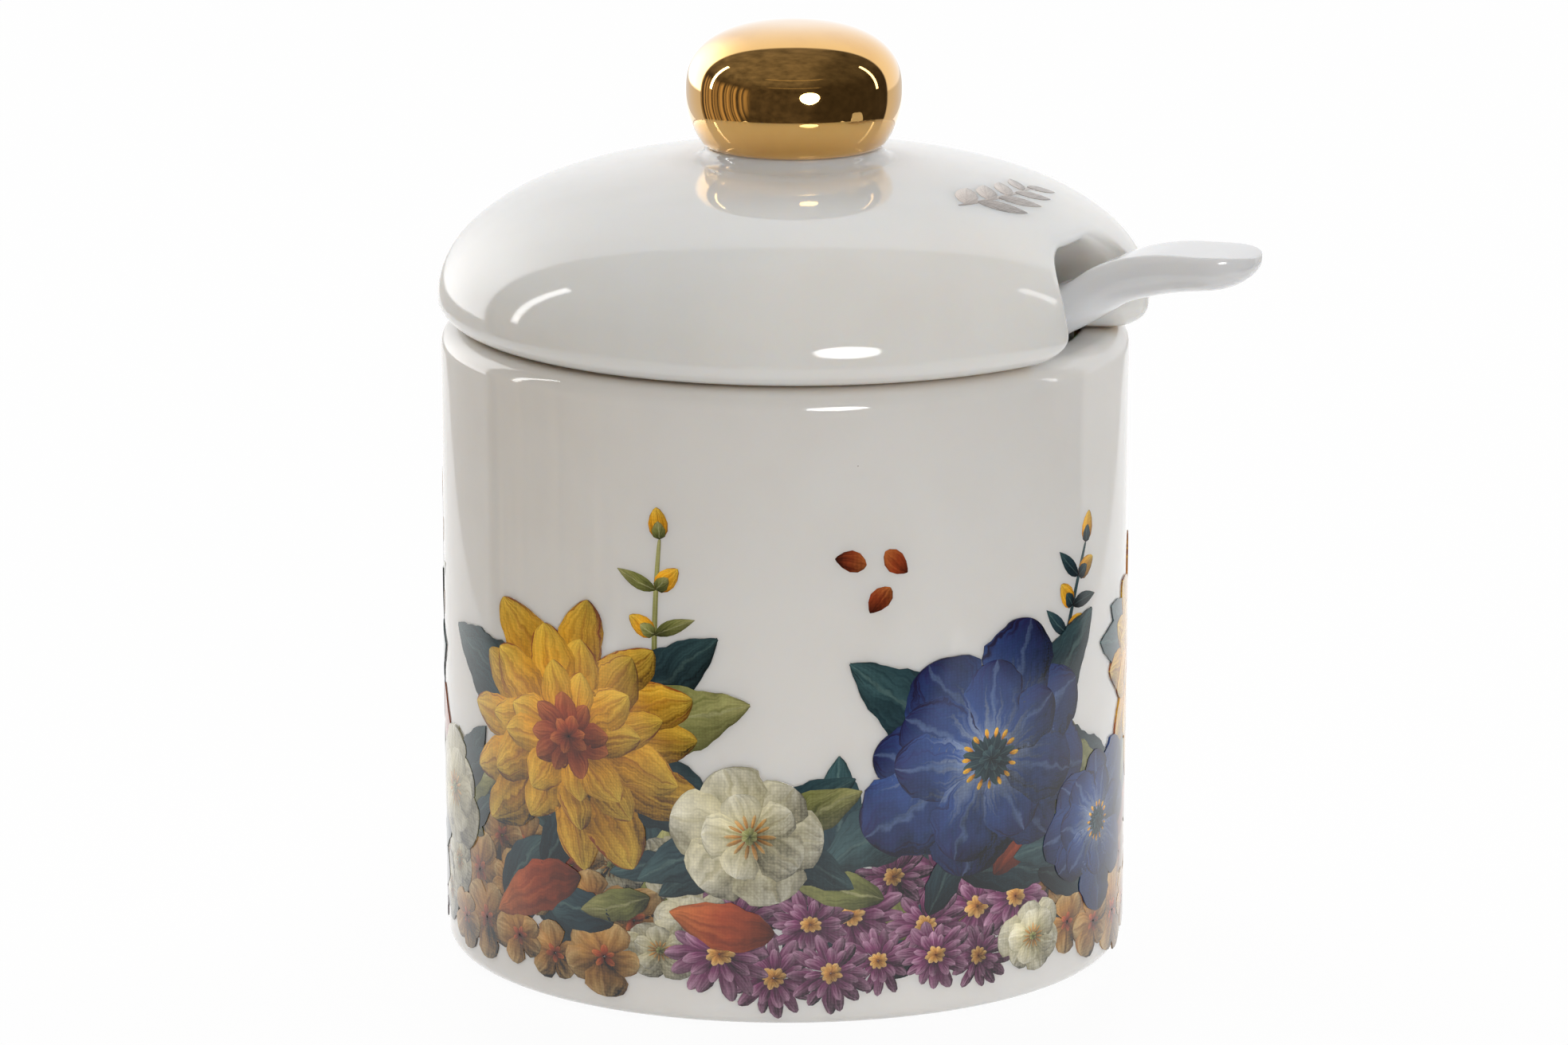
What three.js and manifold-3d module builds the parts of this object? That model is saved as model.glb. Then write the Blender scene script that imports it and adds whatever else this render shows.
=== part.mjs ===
// Sugar jar: a straight-sided ceramic pot with a domed lid, a ball knob and a spoon.
// Millimetres, +Z up. The origin is the centre of the base, on the table.
// The spoon and its notch in the lid's rim point along +X.

import * as THREE from 'three';
import { mergeVertices } from 'three/addons/utils/BufferGeometryUtils.js';
import Module from 'manifold-3d';

const wasm = await Module();
wasm.setup();

// Jar
const JAR_RADIUS = 49.7; // outside, just below the rim
const BASE_TAPER = 0.5; // the base is this much smaller in radius
const JAR_HEIGHT = 92; // table to the top of the rim
const WALL = 5;
const FLOOR = 5;
const BASE_ROUND = 3; // outer edge of the base
const RIM_WIDTH = 7.3; // the rim is thicker than the wall and takes the lid
const RIM_BAND = 7; // height of the thick rim
const RIM_EASE = 6; // height over which the thick rim runs out into the wall
const RIM_ROUND = 3; // outer edge of the rim
const MOUTH_ROUND = 1.3; // inner edge of the rim
const INSIDE_CORNER = 8; // between floor and wall

// Lid
const SEAT_GAP = 0.3; // lid to rim
const LID_OVERHANG = 1.7; // widest line of the lid beyond the jar
const SEAT_LAP = 3.6; // flat seat of the lid over the rim
const EDGE_HEIGHT = 4.1; // seat to the widest line
const CROWN_RISE = 20.2; // widest line to the top of the dome
const DOME_FLATNESS = 2.86; // exponents of the dome's curve, 2 for both is an ellipse
const DOME_FULLNESS = 1.95;
const LID_WALL = 4.2;
const LID_SHIFT = 1.4; // the loose lid lies this far off centre, towards the spoon
const FLANGE_CLEARANCE = 0.6; // flange to mouth on the side that the lid lies towards
const FLANGE_WALL = 3;
const FLANGE_DEPTH = 5;

// Spoon notch in the lid
const NOTCH_SIDE_ROOM = 6.8; // handle to the notch on each side
const NOTCH_TOP_ROOM = 12.8; // middle line of the spoon's neck to the top of the notch
const NOTCH_CORNER = 10; // upper corners
const NOTCH_FLARE = 4; // rounding of the lower corners
const NOTCH_DEPTH = 20; // how far in from the widest line it is cut

// Neck and knob
const NECK_RADIUS = 12.8;
const NECK_RISE = 0.9; // above the top of the dome
const NECK_FLARE = 4.2; // foot of the neck running out on the dome
const KNOB_GAP = 0.3; // luted joint
const KNOB_OVERHANG = 2.8; // widest line of the knob beyond the neck
const KNOB_BELLY = 13.5; // depth of the full curve below the widest line
const KNOB_CROWN = 10.4; // widest line to the top
const KNOB_FLATNESS = 2.5; // exponent of the upper curve
const SPIGOT_RADIUS = 7;
const SPIGOT_HEIGHT = 5;
const KNOB_VOID = 6; // bore of the knob above the spigot

// Spoon
const SPOON_GAP = 0.3; // spoon to rim and to floor
const BOWL_LENGTH = 36;
const BOWL_WIDTH = 26;
const BOWL_DEPTH = 9;
const BOWL_WALL = 2.4;
const BOWL_TILT = 42; // degrees below level
const BOWL_CENTRE = -14; // X
const HEEL_INSET = 2.5; // end of the shank's middle line in from the bowl's heel
const HEEL_DROP = 2.7; // the same below the bowl's rim
const SHANK_HALF_WIDTH = 3.6;
const NECK_HALF_WIDTH = 4.2; // where the handle crosses the rim
const HANDLE_HALF_WIDTH = 6.6;
const HANDLE_TOP = 1.8; // widest line of the section to its flat top
const NECK_BELLY = 4.6; // widest line of the section to its round underside, at the neck
const HANDLE_BELLY = 5.4; // the same along the handle
const TIP_BELLY = 4.4; // the same near the tip
const NECK_SLOPE = 48; // degrees, where the handle crosses the rim
const NECK_STRAIGHT = 2.5; // half the length of the straight stretch over the rim
const FULL_WIDTH_SHARE = 0.5; // share of the handle, from neck to tip, over which it widens
const HANDLE_REACH = 34.8; // neck to the tip of the handle, along X
const HANDLE_RISE = 12.6; // neck to the tip of the handle, along Z
// The arch of the handle: shares of its reach and of its rise
const HANDLE_ARCH = [
  [0.2, 0.46],
  [0.38, 0.78],
  [0.58, 0.92],
  [0.8, 0.97],
];

// Fineness of the facets
const TURNS = 60;
const KNOB_TURNS = 48;
const ARC_STEPS = 3; // half the number of chords in a quarter turn
const DOME_STEPS = 11;
const SPOON_RINGS = 44;
const SPOON_SIDES = 16;
const LINE_STEPS = 400; // steps in which the spoon's middle line is searched
const WELD = 1e-4; // vertices closer than this are one

// Sizes that follow from those above
const BASE_RADIUS = JAR_RADIUS - BASE_TAPER;
const MOUTH_RADIUS = JAR_RADIUS - RIM_WIDTH;
const LID_RADIUS = JAR_RADIUS + LID_OVERHANG;
const SEAT_RADIUS = MOUTH_RADIUS + SEAT_LAP;
const SEAT_Z = JAR_HEIGHT + SEAT_GAP;
const FLANGE_RADIUS = MOUTH_RADIUS - LID_SHIFT - FLANGE_CLEARANCE;
const DOME_TOP = EDGE_HEIGHT + CROWN_RISE;
const NECK_TOP = DOME_TOP + NECK_RISE;
const KNOB_RADIUS = NECK_RADIUS + KNOB_OVERHANG;

// The outside radius of the jar at a height
function jarRadiusAt(z) {
  return BASE_RADIUS + ((JAR_RADIUS - BASE_RADIUS) * z) / JAR_HEIGHT;
}

// A quarter of a rounded curve from its widest point to the axis, as points for a lathe
function crownCurve(radius, rise, z, flatness, fullness, steps) {
  const points = [];
  for (let i = 0; i <= steps; i += 1) {
    const turn = (Math.PI / 2) * (i / steps);
    const r = i === steps ? 0 : radius * Math.cos(turn) ** (2 / flatness);
    points.push(new THREE.Vector2(r, z + rise * Math.sin(turn) ** (2 / fullness)));
  }
  return points;
}

// A geometry with its shared vertices merged and its empty triangles dropped
function welded(geometry) {
  const bare = geometry.clone();
  bare.deleteAttribute('normal');
  bare.deleteAttribute('uv');
  const merged = mergeVertices(bare, WELD);
  const old = merged.index.array;
  const kept = [];
  for (let i = 0; i < old.length; i += 3) {
    const [a, b, c] = [old[i], old[i + 1], old[i + 2]];
    if (a !== b && b !== c && c !== a) {
      kept.push(a, b, c);
    }
  }
  merged.setIndex(kept);
  return merged;
}

// A profile in the X-Z half plane turned about Z
function turned(points, turns) {
  return welded(new THREE.LatheGeometry(points, turns).rotateX(Math.PI / 2));
}

// Geometry to solid, for joining and cutting
function solid(geometry) {
  const mesh = welded(geometry);
  return new wasm.Manifold(
    new wasm.Mesh({
      numProp: 3,
      vertProperties: new Float32Array(mesh.attributes.position.array),
      triVerts: new Uint32Array(mesh.index.array),
    }),
  );
}

// Solid back to geometry
function geometryOf(shape) {
  const mesh = shape.getMesh();
  const geometry = new THREE.BufferGeometry();
  geometry.setAttribute('position', new THREE.BufferAttribute(mesh.vertProperties, 3));
  geometry.setIndex(new THREE.BufferAttribute(mesh.triVerts, 1));
  return geometry;
}

// Jar body: outside from the base up, over the rim and down the inside to the floor
function jarBody() {
  const bandFoot = JAR_HEIGHT - RIM_BAND;
  const easeFoot = bandFoot - RIM_EASE;
  const cornerTop = FLOOR + INSIDE_CORNER;
  const profile = new THREE.Path();
  profile.moveTo(0, 0);
  profile.lineTo(BASE_RADIUS - BASE_ROUND, 0);
  profile.absarc(BASE_RADIUS - BASE_ROUND, BASE_ROUND, BASE_ROUND, -Math.PI / 2, 0);
  profile.absarc(JAR_RADIUS - RIM_ROUND, JAR_HEIGHT - RIM_ROUND, RIM_ROUND, 0, Math.PI / 2);
  profile.absarc(MOUTH_RADIUS + MOUTH_ROUND, JAR_HEIGHT - MOUTH_ROUND, MOUTH_ROUND, Math.PI / 2, Math.PI);
  profile.lineTo(MOUTH_RADIUS, bandFoot);
  profile.lineTo(jarRadiusAt(easeFoot) - WALL, easeFoot);
  const cornerCentre = jarRadiusAt(cornerTop) - WALL - INSIDE_CORNER;
  profile.absarc(cornerCentre, cornerTop, INSIDE_CORNER, 0, -Math.PI / 2, true);
  profile.lineTo(0, FLOOR);
  return turned(profile.getPoints(ARC_STEPS), TURNS);
}

// Lid before the notch is cut: down the inside, round the flange and seat, and up the outside
function lidTurned() {
  const inner = crownCurve(
    LID_RADIUS - LID_WALL,
    CROWN_RISE - LID_WALL,
    EDGE_HEIGHT,
    DOME_FLATNESS,
    DOME_FULLNESS,
    DOME_STEPS,
  );
  const outer = crownCurve(LID_RADIUS, CROWN_RISE, EDGE_HEIGHT, DOME_FLATNESS, DOME_FULLNESS, DOME_STEPS);
  const neckFoot = NECK_RADIUS + NECK_FLARE;
  const dome = outer.filter((point) => point.x > neckFoot);
  const down = -Math.PI / 2;
  const flareRise = NECK_TOP - dome.at(-1).y;
  const flare = new THREE.EllipseCurve(neckFoot, NECK_TOP, NECK_FLARE, flareRise, down, -Math.PI, true);
  const edgeRun = LID_RADIUS - SEAT_RADIUS;
  const edge = new THREE.EllipseCurve(SEAT_RADIUS, EDGE_HEIGHT, edgeRun, EDGE_HEIGHT, down, 0);
  const flangeInside = FLANGE_RADIUS - FLANGE_WALL;
  const points = [
    ...inner.reverse(),
    new THREE.Vector2(flangeInside, EDGE_HEIGHT),
    new THREE.Vector2(flangeInside, -FLANGE_DEPTH),
    new THREE.Vector2(FLANGE_RADIUS, -FLANGE_DEPTH),
    new THREE.Vector2(FLANGE_RADIUS, 0),
    ...edge.getPoints(2 * ARC_STEPS),
    ...dome.slice(1),
    ...flare.getPoints(ARC_STEPS),
    new THREE.Vector2(SPIGOT_RADIUS, NECK_TOP),
    new THREE.Vector2(SPIGOT_RADIUS, NECK_TOP + SPIGOT_HEIGHT),
    new THREE.Vector2(0, NECK_TOP + SPIGOT_HEIGHT),
  ];
  return turned(points, TURNS);
}

// The cutter for the spoon notch: an arch with flared feet, run outwards along +X
function notchCutter() {
  const side = HANDLE_HALF_WIDTH + NOTCH_SIDE_ROOM;
  const top = spoonLayout().neck.y - SEAT_Z + NOTCH_TOP_ROOM;
  const foot = side + NOTCH_FLARE;
  const below = -FLANGE_DEPTH - LID_WALL;
  const arch = new THREE.Shape();
  arch.moveTo(-foot, below);
  arch.lineTo(foot, below);
  arch.absarc(foot, NOTCH_FLARE, NOTCH_FLARE, -Math.PI / 2, -Math.PI, true);
  arch.absarc(side - NOTCH_CORNER, top - NOTCH_CORNER, NOTCH_CORNER, 0, Math.PI / 2);
  arch.absarc(-side + NOTCH_CORNER, top - NOTCH_CORNER, NOTCH_CORNER, Math.PI / 2, Math.PI);
  arch.absarc(-foot, NOTCH_FLARE, NOTCH_FLARE, 0, -Math.PI / 2, true);
  const geometry = new THREE.ExtrudeGeometry(arch, {
    depth: NOTCH_DEPTH + LID_WALL,
    bevelEnabled: false,
    curveSegments: 2 * ARC_STEPS,
  });
  geometry.rotateX(Math.PI / 2);
  geometry.rotateZ(Math.PI / 2);
  geometry.translate(LID_RADIUS - NOTCH_DEPTH, 0, 0);
  return geometry;
}

function lid() {
  return geometryOf(solid(lidTurned()).subtract(solid(notchCutter())));
}

// Knob: bore from its top down, the foot ring, and up the outside
function knob() {
  const bore = SPIGOT_RADIUS + KNOB_GAP;
  const foot = Math.sqrt(1 - (NECK_RADIUS / KNOB_RADIUS) ** 2) * KNOB_BELLY;
  const footTurn = Math.acos(NECK_RADIUS / KNOB_RADIUS);
  const belly = new THREE.EllipseCurve(0, foot, KNOB_RADIUS, KNOB_BELLY, -footTurn, 0);
  const hollow = SPIGOT_HEIGHT + KNOB_VOID;
  const points = [
    new THREE.Vector2(0, hollow),
    new THREE.Vector2(bore, hollow),
    new THREE.Vector2(bore, 0),
    ...belly.getPoints(2 * ARC_STEPS),
    ...crownCurve(KNOB_RADIUS, KNOB_CROWN, foot, KNOB_FLATNESS, KNOB_FLATNESS, DOME_STEPS).slice(1),
  ];
  return turned(points, KNOB_TURNS);
}

// The spoon's middle line and bowl, in its own upright plane
function spoonLayout() {
  const tilt = THREE.MathUtils.degToRad(BOWL_TILT);
  const along = new THREE.Vector2(-Math.cos(tilt), -Math.sin(tilt));
  const open = new THREE.Vector2(-Math.sin(tilt), Math.cos(tilt));
  const halfLength = BOWL_LENGTH / 2;
  const drop = Math.hypot(halfLength * along.y, BOWL_DEPTH * open.y);
  const bowl = new THREE.Vector2(BOWL_CENTRE, FLOOR + SPOON_GAP + drop);
  const heel = bowl.clone();
  heel.addScaledVector(along, HEEL_INSET - halfLength);
  heel.addScaledVector(open, -HEEL_DROP);
  const slope = THREE.MathUtils.degToRad(NECK_SLOPE);
  const reach = MOUTH_ROUND + SPOON_GAP + NECK_BELLY;
  const neck = new THREE.Vector2(
    MOUTH_RADIUS + MOUTH_ROUND - reach * Math.sin(slope),
    JAR_HEIGHT - MOUTH_ROUND + reach * Math.cos(slope),
  );
  const tip = new THREE.Vector2(neck.x + HANDLE_REACH, neck.y + HANDLE_RISE);
  const over = new THREE.Vector2(Math.cos(slope), Math.sin(slope)).multiplyScalar(NECK_STRAIGHT);
  return { along, open, halfLength, bowl, heel, neck, over, tip };
}

// A size along the spoon, eased between stations of [share of the length, size]
function sizeAt(stations, share) {
  let size = stations[0][1];
  for (let i = 1; i < stations.length; i += 1) {
    const [from, to] = [stations[i - 1], stations[i]];
    size += (to[1] - from[1]) * THREE.MathUtils.smoothstep(share, from[0], to[0]);
  }
  return size;
}

// The middle line from the bowl's heel, straight over the rim, and along the arch of the handle
function spoonLine({ heel, neck, over, tip }) {
  const arch = HANDLE_ARCH.map(([share, lift]) => [
    THREE.MathUtils.lerp(neck.x, tip.x, share),
    THREE.MathUtils.lerp(neck.y, tip.y, lift),
  ]);
  const middle = heel.clone().lerp(neck, 0.5);
  const points = [
    [heel.x, heel.y],
    [middle.x, middle.y],
    [neck.x - over.x, neck.y - over.y],
    [neck.x, neck.y],
    [neck.x + over.x, neck.y + over.y],
    ...arch,
    [tip.x, tip.y],
  ];
  return new THREE.CatmullRomCurve3(
    points.map(([x, z]) => new THREE.Vector3(x, 0, z)),
    false,
    'centripetal',
  );
}

// The share of the middle line's length at which it is over the rim
function neckShare(line, neck) {
  const lengths = line.getLengths(LINE_STEPS);
  const target = new THREE.Vector3(neck.x, 0, neck.y);
  const distances = line.getPoints(LINE_STEPS).map((point) => point.distanceTo(target));
  return lengths[distances.indexOf(Math.min(...distances))] / lengths[LINE_STEPS];
}

// Handle and shank: a closed ball drawn out along the middle line
function spoonStem(layout) {
  const line = spoonLine(layout);
  const total = line.getLength();
  const over = neckShare(line, layout.neck);
  const flat = THREE.MathUtils.lerp(over, 1, FULL_WIDTH_SHARE);
  const halfWidths = [
    [0, SHANK_HALF_WIDTH],
    [over, NECK_HALF_WIDTH],
    [flat, HANDLE_HALF_WIDTH],
  ];
  const bellies = [
    [0, SHANK_HALF_WIDTH],
    [over, NECK_BELLY],
    [flat, HANDLE_BELLY],
    [1, TIP_BELLY],
  ];
  const geometry = new THREE.SphereGeometry(1, SPOON_SIDES, SPOON_RINGS);
  const position = geometry.attributes.position;
  for (let i = 0; i < position.count; i += 1) {
    const ring = Math.floor(i / (SPOON_SIDES + 1));
    const share = 0.5 - 0.5 * Math.cos((Math.PI * ring) / SPOON_RINGS);
    const point = line.getPointAt(share);
    const tangent = line.getTangentAt(share);
    const up = new THREE.Vector3(-tangent.z, 0, tangent.x);
    const fromEnd = Math.min(share, 1 - share) * total;
    const round = Math.sqrt(1 - (1 - Math.min(fromEnd / HANDLE_HALF_WIDTH, 1)) ** 2);
    const around = (2 * Math.PI * (i % (SPOON_SIDES + 1))) / SPOON_SIDES;
    const height = Math.sin(around) > 0 ? HANDLE_TOP : sizeAt(bellies, share);
    point.y -= sizeAt(halfWidths, share) * round * Math.cos(around);
    point.addScaledVector(up, height * round * Math.sin(around));
    position.setXYZ(i, point.x, point.y, point.z);
  }
  return geometry;
}

// Lays a geometry along the bowl: its X runs to the bowl's tip and its Z out of the bowl
function laidInBowl(geometry, { along, open, bowl }) {
  const frame = new THREE.Matrix4().makeBasis(
    new THREE.Vector3(along.x, 0, along.y),
    new THREE.Vector3(0, -1, 0),
    new THREE.Vector3(open.x, 0, open.y),
  );
  geometry.applyMatrix4(frame);
  geometry.translate(bowl.x, 0, bowl.y);
  return geometry;
}

// One of the bowl's two ellipsoids
function bowlBall(layout, inset) {
  const ball = new THREE.SphereGeometry(1, 2 * SPOON_SIDES, SPOON_SIDES);
  ball.scale(layout.halfLength - inset, BOWL_WIDTH / 2 - inset, BOWL_DEPTH - inset);
  return laidInBowl(ball, layout);
}

// A block that takes in everything above the bowl's rim
function aboveBowl(layout) {
  const height = 2 * BOWL_DEPTH;
  const block = new THREE.BoxGeometry(2 * BOWL_LENGTH, 2 * BOWL_WIDTH, height);
  block.translate(0, 0, height / 2);
  return laidInBowl(block, layout);
}

function spoon() {
  const layout = spoonLayout();
  const shell = solid(bowlBall(layout, 0)).subtract(solid(aboveBowl(layout)));
  const whole = shell.add(solid(spoonStem(layout)));
  return geometryOf(whole.subtract(solid(bowlBall(layout, BOWL_WALL))));
}

// A named piece with its own material
function piece(name, geometry, color, roughness, metalness) {
  geometry.computeVertexNormals();
  const mesh = new THREE.Mesh(geometry, new THREE.MeshStandardMaterial({ color, roughness, metalness }));
  mesh.name = name;
  return mesh;
}

const jar = new THREE.Group();
jar.add(piece('jar_body', jarBody(), '#e6e2dc', 0.12, 0));

const cover = new THREE.Group();
cover.position.set(LID_SHIFT, 0, SEAT_Z);
cover.add(piece('lid', lid(), '#e9e6e0', 0.1, 0));
const knobMesh = piece('lid_knob', knob(), '#c9962f', 0.08, 1);
knobMesh.position.z = NECK_TOP + KNOB_GAP;
cover.add(knobMesh);
jar.add(cover);

jar.add(piece('spoon', spoon(), '#e3e5e8', 0.1, 0));

export default jar;
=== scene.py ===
"""Looks of the sugar jar: glazed pot with a printed flower band, domed lid, gilt knob and spoon.

Sizes are millimetres in the part's own frame: the origin is the centre of the base, +Z is up and
+X points to the spoon's handle. A finished mesh is scaled to metres.
"""

import logging
import math
import random
from dataclasses import dataclass, field, replace
from enum import Enum
from typing import Callable

import bmesh
import bpy
from mathutils import Matrix, Vector


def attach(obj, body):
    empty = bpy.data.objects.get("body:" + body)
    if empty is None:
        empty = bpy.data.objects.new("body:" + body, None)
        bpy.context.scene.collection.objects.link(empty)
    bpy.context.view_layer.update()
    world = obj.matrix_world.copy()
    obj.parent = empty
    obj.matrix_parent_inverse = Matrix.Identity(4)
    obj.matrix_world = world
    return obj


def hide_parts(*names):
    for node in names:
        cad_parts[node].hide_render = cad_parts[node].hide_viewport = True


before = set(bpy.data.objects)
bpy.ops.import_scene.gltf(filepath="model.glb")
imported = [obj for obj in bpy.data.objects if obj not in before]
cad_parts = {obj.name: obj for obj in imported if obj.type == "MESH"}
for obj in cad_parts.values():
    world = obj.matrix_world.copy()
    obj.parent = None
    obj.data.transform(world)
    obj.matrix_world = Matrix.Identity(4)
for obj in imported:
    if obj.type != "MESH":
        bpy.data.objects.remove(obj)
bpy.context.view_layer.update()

log = logging.getLogger("sugar_jar")

MM = 0.001  # metres in a millimetre
WELD = 1e-4  # vertices closer than this are one
VIEW_AZIMUTH = 26.0  # degrees, the side of the jar that faces the camera
FRONT = math.radians(VIEW_AZIMUTH - 90.0)  # the same as an angle from +X

Point = tuple[float, float]
Colour = tuple[float, float, float]
Wrap = Callable[[float, float, float], Vector]


def smooth(share: float) -> float:
    """Eases a share from 0 to 1 and holds it beyond both ends."""
    held = min(max(share, 0.0), 1.0)
    return held * held * (3.0 - 2.0 * held)


def mixed(low: float, high: float, share: float) -> float:
    """Returns the value at a share of the way from low to high."""
    return low + (high - low) * share


def polar(radius: float, turn: float, height: float) -> Vector:
    """Returns the point at a radius, an angle from +X in radians and a height."""
    return Vector((radius * math.cos(turn), radius * math.sin(turn), height))


def arc(centre: Point, radii: Point, start: float, end: float, steps: int) -> list[Point]:
    """Lays points along an arc of an ellipse in the plane of radius and height.

    Args:
        centre: Centre of the ellipse.
        radii: Its half width and half height.
        start: First angle in degrees.
        end: Last angle in degrees.
        steps: Number of chords.

    Returns:
        The points, both ends included.
    """
    turns = [math.radians(mixed(start, end, i / steps)) for i in range(steps + 1)]
    return [(centre[0] + radii[0] * math.cos(t), centre[1] + radii[1] * math.sin(t)) for t in turns]


def crown(radius: float, rise: float, foot: float, powers: Point, turn: float) -> Point:
    """Finds a point on a crowned curve that runs from its widest line to the axis.

    Args:
        radius: Radius at the widest line.
        rise: Height above the widest line.
        foot: Height of the widest line.
        powers: Flatness and fullness, 2 for both is an ellipse.
        turn: Angle in radians, 0 at the widest line.

    Returns:
        Radius and height of the point.
    """
    across = max(math.cos(turn), 0.0) ** (2.0 / powers[0])
    return radius * across, foot + rise * math.sin(turn) ** (2.0 / powers[1])


def spun(profile: list[Point], steps: int) -> bmesh.types.BMesh:
    """Turns a profile about Z and numbers its rows.

    Args:
        profile: Points of radius and height.
        steps: Columns in a full turn.

    Returns:
        A closed mesh whose vertices hold their place in the profile in the layer "row".
    """
    bm = bmesh.new()
    rows = bm.verts.layers.int.new("row")
    line = []
    for row, (radius, height) in enumerate(profile):
        vert = bm.verts.new((radius, 0.0, height))
        vert[rows] = row
        line.append(vert)
    edges = [bm.edges.new(pair) for pair in zip(line, line[1:])]
    bmesh.ops.spin(
        bm,
        geom=line + edges,
        cent=(0.0, 0.0, 0.0),
        axis=(0.0, 0.0, 1.0),
        angle=2.0 * math.pi,
        steps=steps,
        use_merge=True,
    )
    bmesh.ops.remove_doubles(bm, verts=bm.verts[:], dist=WELD)
    return bm


def linked(bm: bmesh.types.BMesh, name: str, material: bpy.types.Material) -> bpy.types.Object:
    """Makes a millimetre mesh an object in metres at the origin and reports it.

    Args:
        bm: The mesh, which is freed.
        name: Name of the piece.
        material: Its finish.

    Returns:
        The new object, shaded smooth.
    """
    bmesh.ops.scale(bm, vec=(MM, MM, MM), verts=bm.verts[:])
    for face in bm.faces:
        face.smooth = True
    mesh = bpy.data.meshes.new(name)
    bm.to_mesh(mesh)
    bm.free()
    mesh.materials.append(material)
    piece = bpy.data.objects.new(name, mesh)
    bpy.context.scene.collection.objects.link(piece)
    log.info("%s: %d faces", name, len(mesh.polygons))
    return piece


def finished(bm: bmesh.types.BMesh, name: str, material: bpy.types.Material) -> bpy.types.Object:
    """Merges a mesh's doubles, turns its faces outwards and makes it an object.

    Args:
        bm: The mesh in millimetres, which is freed.
        name: Name of the piece.
        material: Its finish.

    Returns:
        The new object.
    """
    bmesh.ops.remove_doubles(bm, verts=bm.verts[:], dist=WELD)
    bmesh.ops.recalc_face_normals(bm, faces=bm.faces[:])
    return linked(bm, name, material)


def settle(piece: bpy.types.Object, body: str) -> None:
    """Rides a piece on its body."""
    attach(piece, body)


class Sheet:
    """A node tree with short ways to add nodes and link them."""

    def __init__(self, tree: bpy.types.NodeTree) -> None:
        """Empties a tree and keeps it."""
        self.tree = tree
        tree.nodes.clear()

    def put(self, socket: bpy.types.NodeSocket, value: object) -> None:
        """Fills an input.

        Args:
            socket: The input.
            value: An output to link to it, or its own value.
        """
        if isinstance(value, bpy.types.NodeSocket):
            self.tree.links.new(value, socket)
        elif isinstance(value, tuple) and len(value) == 3 and socket.type == "RGBA":
            socket.default_value = (*value, 1.0)
        else:
            socket.default_value = value

    def add(self, kind: str, sockets: dict | None = None, **settings: object) -> bpy.types.Node:
        """Adds a node.

        Args:
            kind: Name of the node's type, without its prefix.
            sockets: Values or links of its inputs, by name or number.
            settings: Its own settings.

        Returns:
            The node.
        """
        node = self.tree.nodes.new("ShaderNode" + kind)
        for key, value in settings.items():
            setattr(node, key, value)
        for key, value in (sockets or {}).items():
            self.put(node.inputs[key], value)
        return node

    def math(self, operation: str, first: object, second: object = 0.0) -> bpy.types.NodeSocket:
        """Adds a sum of two values and returns its result."""
        return self.add("Math", {0: first, 1: second}, operation=operation).outputs[0]

    def scaled(self, value: object, factor: float, offset: float) -> bpy.types.NodeSocket:
        """Returns a value times a factor, plus an offset."""
        return self.add("Math", {0: value, 1: factor, 2: offset}, operation="MULTIPLY_ADD").outputs[0]

    def ease(self, value: object, low: float, high: float) -> bpy.types.NodeSocket:
        """Returns a value eased to 0 at low and to 1 at high."""
        sockets = {"Value": value, "From Min": low, "From Max": high}
        return self.add("MapRange", sockets, interpolation_type="SMOOTHSTEP").outputs[0]

    def blend(self, share: object, first: object, second: object, how: str = "MIX") -> bpy.types.NodeSocket:
        """Mixes two colours.

        Args:
            share: Share of the second colour.
            first: First colour.
            second: Second colour.
            how: Blend type.

        Returns:
            The mixed colour.
        """
        node = self.add("Mix", data_type="RGBA", blend_type=how)
        self.put(node.inputs[0], share)
        self.put(node.inputs[6], first)
        self.put(node.inputs[7], second)
        return node.outputs[2]

    def ramp(self, share: object, stops: list[tuple[float, Colour]]) -> bpy.types.NodeSocket:
        """Runs a colour along a row of stops.

        Args:
            share: Place along the row, from 0 to 1.
            stops: Place and colour of each stop.

        Returns:
            The colour at that place.
        """
        node = self.add("ValToRGB", {0: share})
        elements = node.color_ramp.elements
        while len(elements) < len(stops):
            elements.new(0.5)
        for element, (place, colour) in zip(elements, stops):
            element.position = place
            element.color = (*colour, 1.0)
        return node.outputs[0]

    def noise(self, vector: object, scale: float, detail: float = 2.0) -> bpy.types.NodeSocket:
        """Returns a noise between 0 and 1."""
        return self.add("TexNoise", {"Vector": vector, "Scale": scale, "Detail": detail}).outputs[0]

    def grey(self, value: object) -> bpy.types.NodeSocket:
        """Returns a grey of a value."""
        return self.add("CombineColor", {0: value, 1: value, 2: value}).outputs[0]

    def specks(self, place: object, scale: float, share: float, size: float) -> bpy.types.NodeSocket:
        """Scatters specks.

        Args:
            place: Coordinates that they follow.
            scale: Number of cells in a metre.
            share: Share of the cells that have no speck.
            size: Radius of a speck as a share of a cell.

        Returns:
            1 on a speck and 0 elsewhere.
        """
        cells = self.add("TexVoronoi", {"Vector": place, "Scale": scale})
        rare = self.math("GREATER_THAN", cells.outputs["Color"], share)
        spot = self.math("LESS_THAN", cells.outputs["Distance"], size)
        return self.math("MULTIPLY", rare, spot)

    def waves(self, shader: bpy.types.Node, place: object, scale: float, height: float) -> None:
        """Gives a shader the slow waves of a fired surface.

        Args:
            shader: The shader.
            place: Coordinates that the waves follow.
            scale: Number of waves in a metre.
            height: Their height in metres.
        """
        bump = self.add("Bump", {"Height": self.noise(place, scale, 1.0), "Distance": height})
        self.put(shader.inputs["Normal"], bump.outputs[0])


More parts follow.
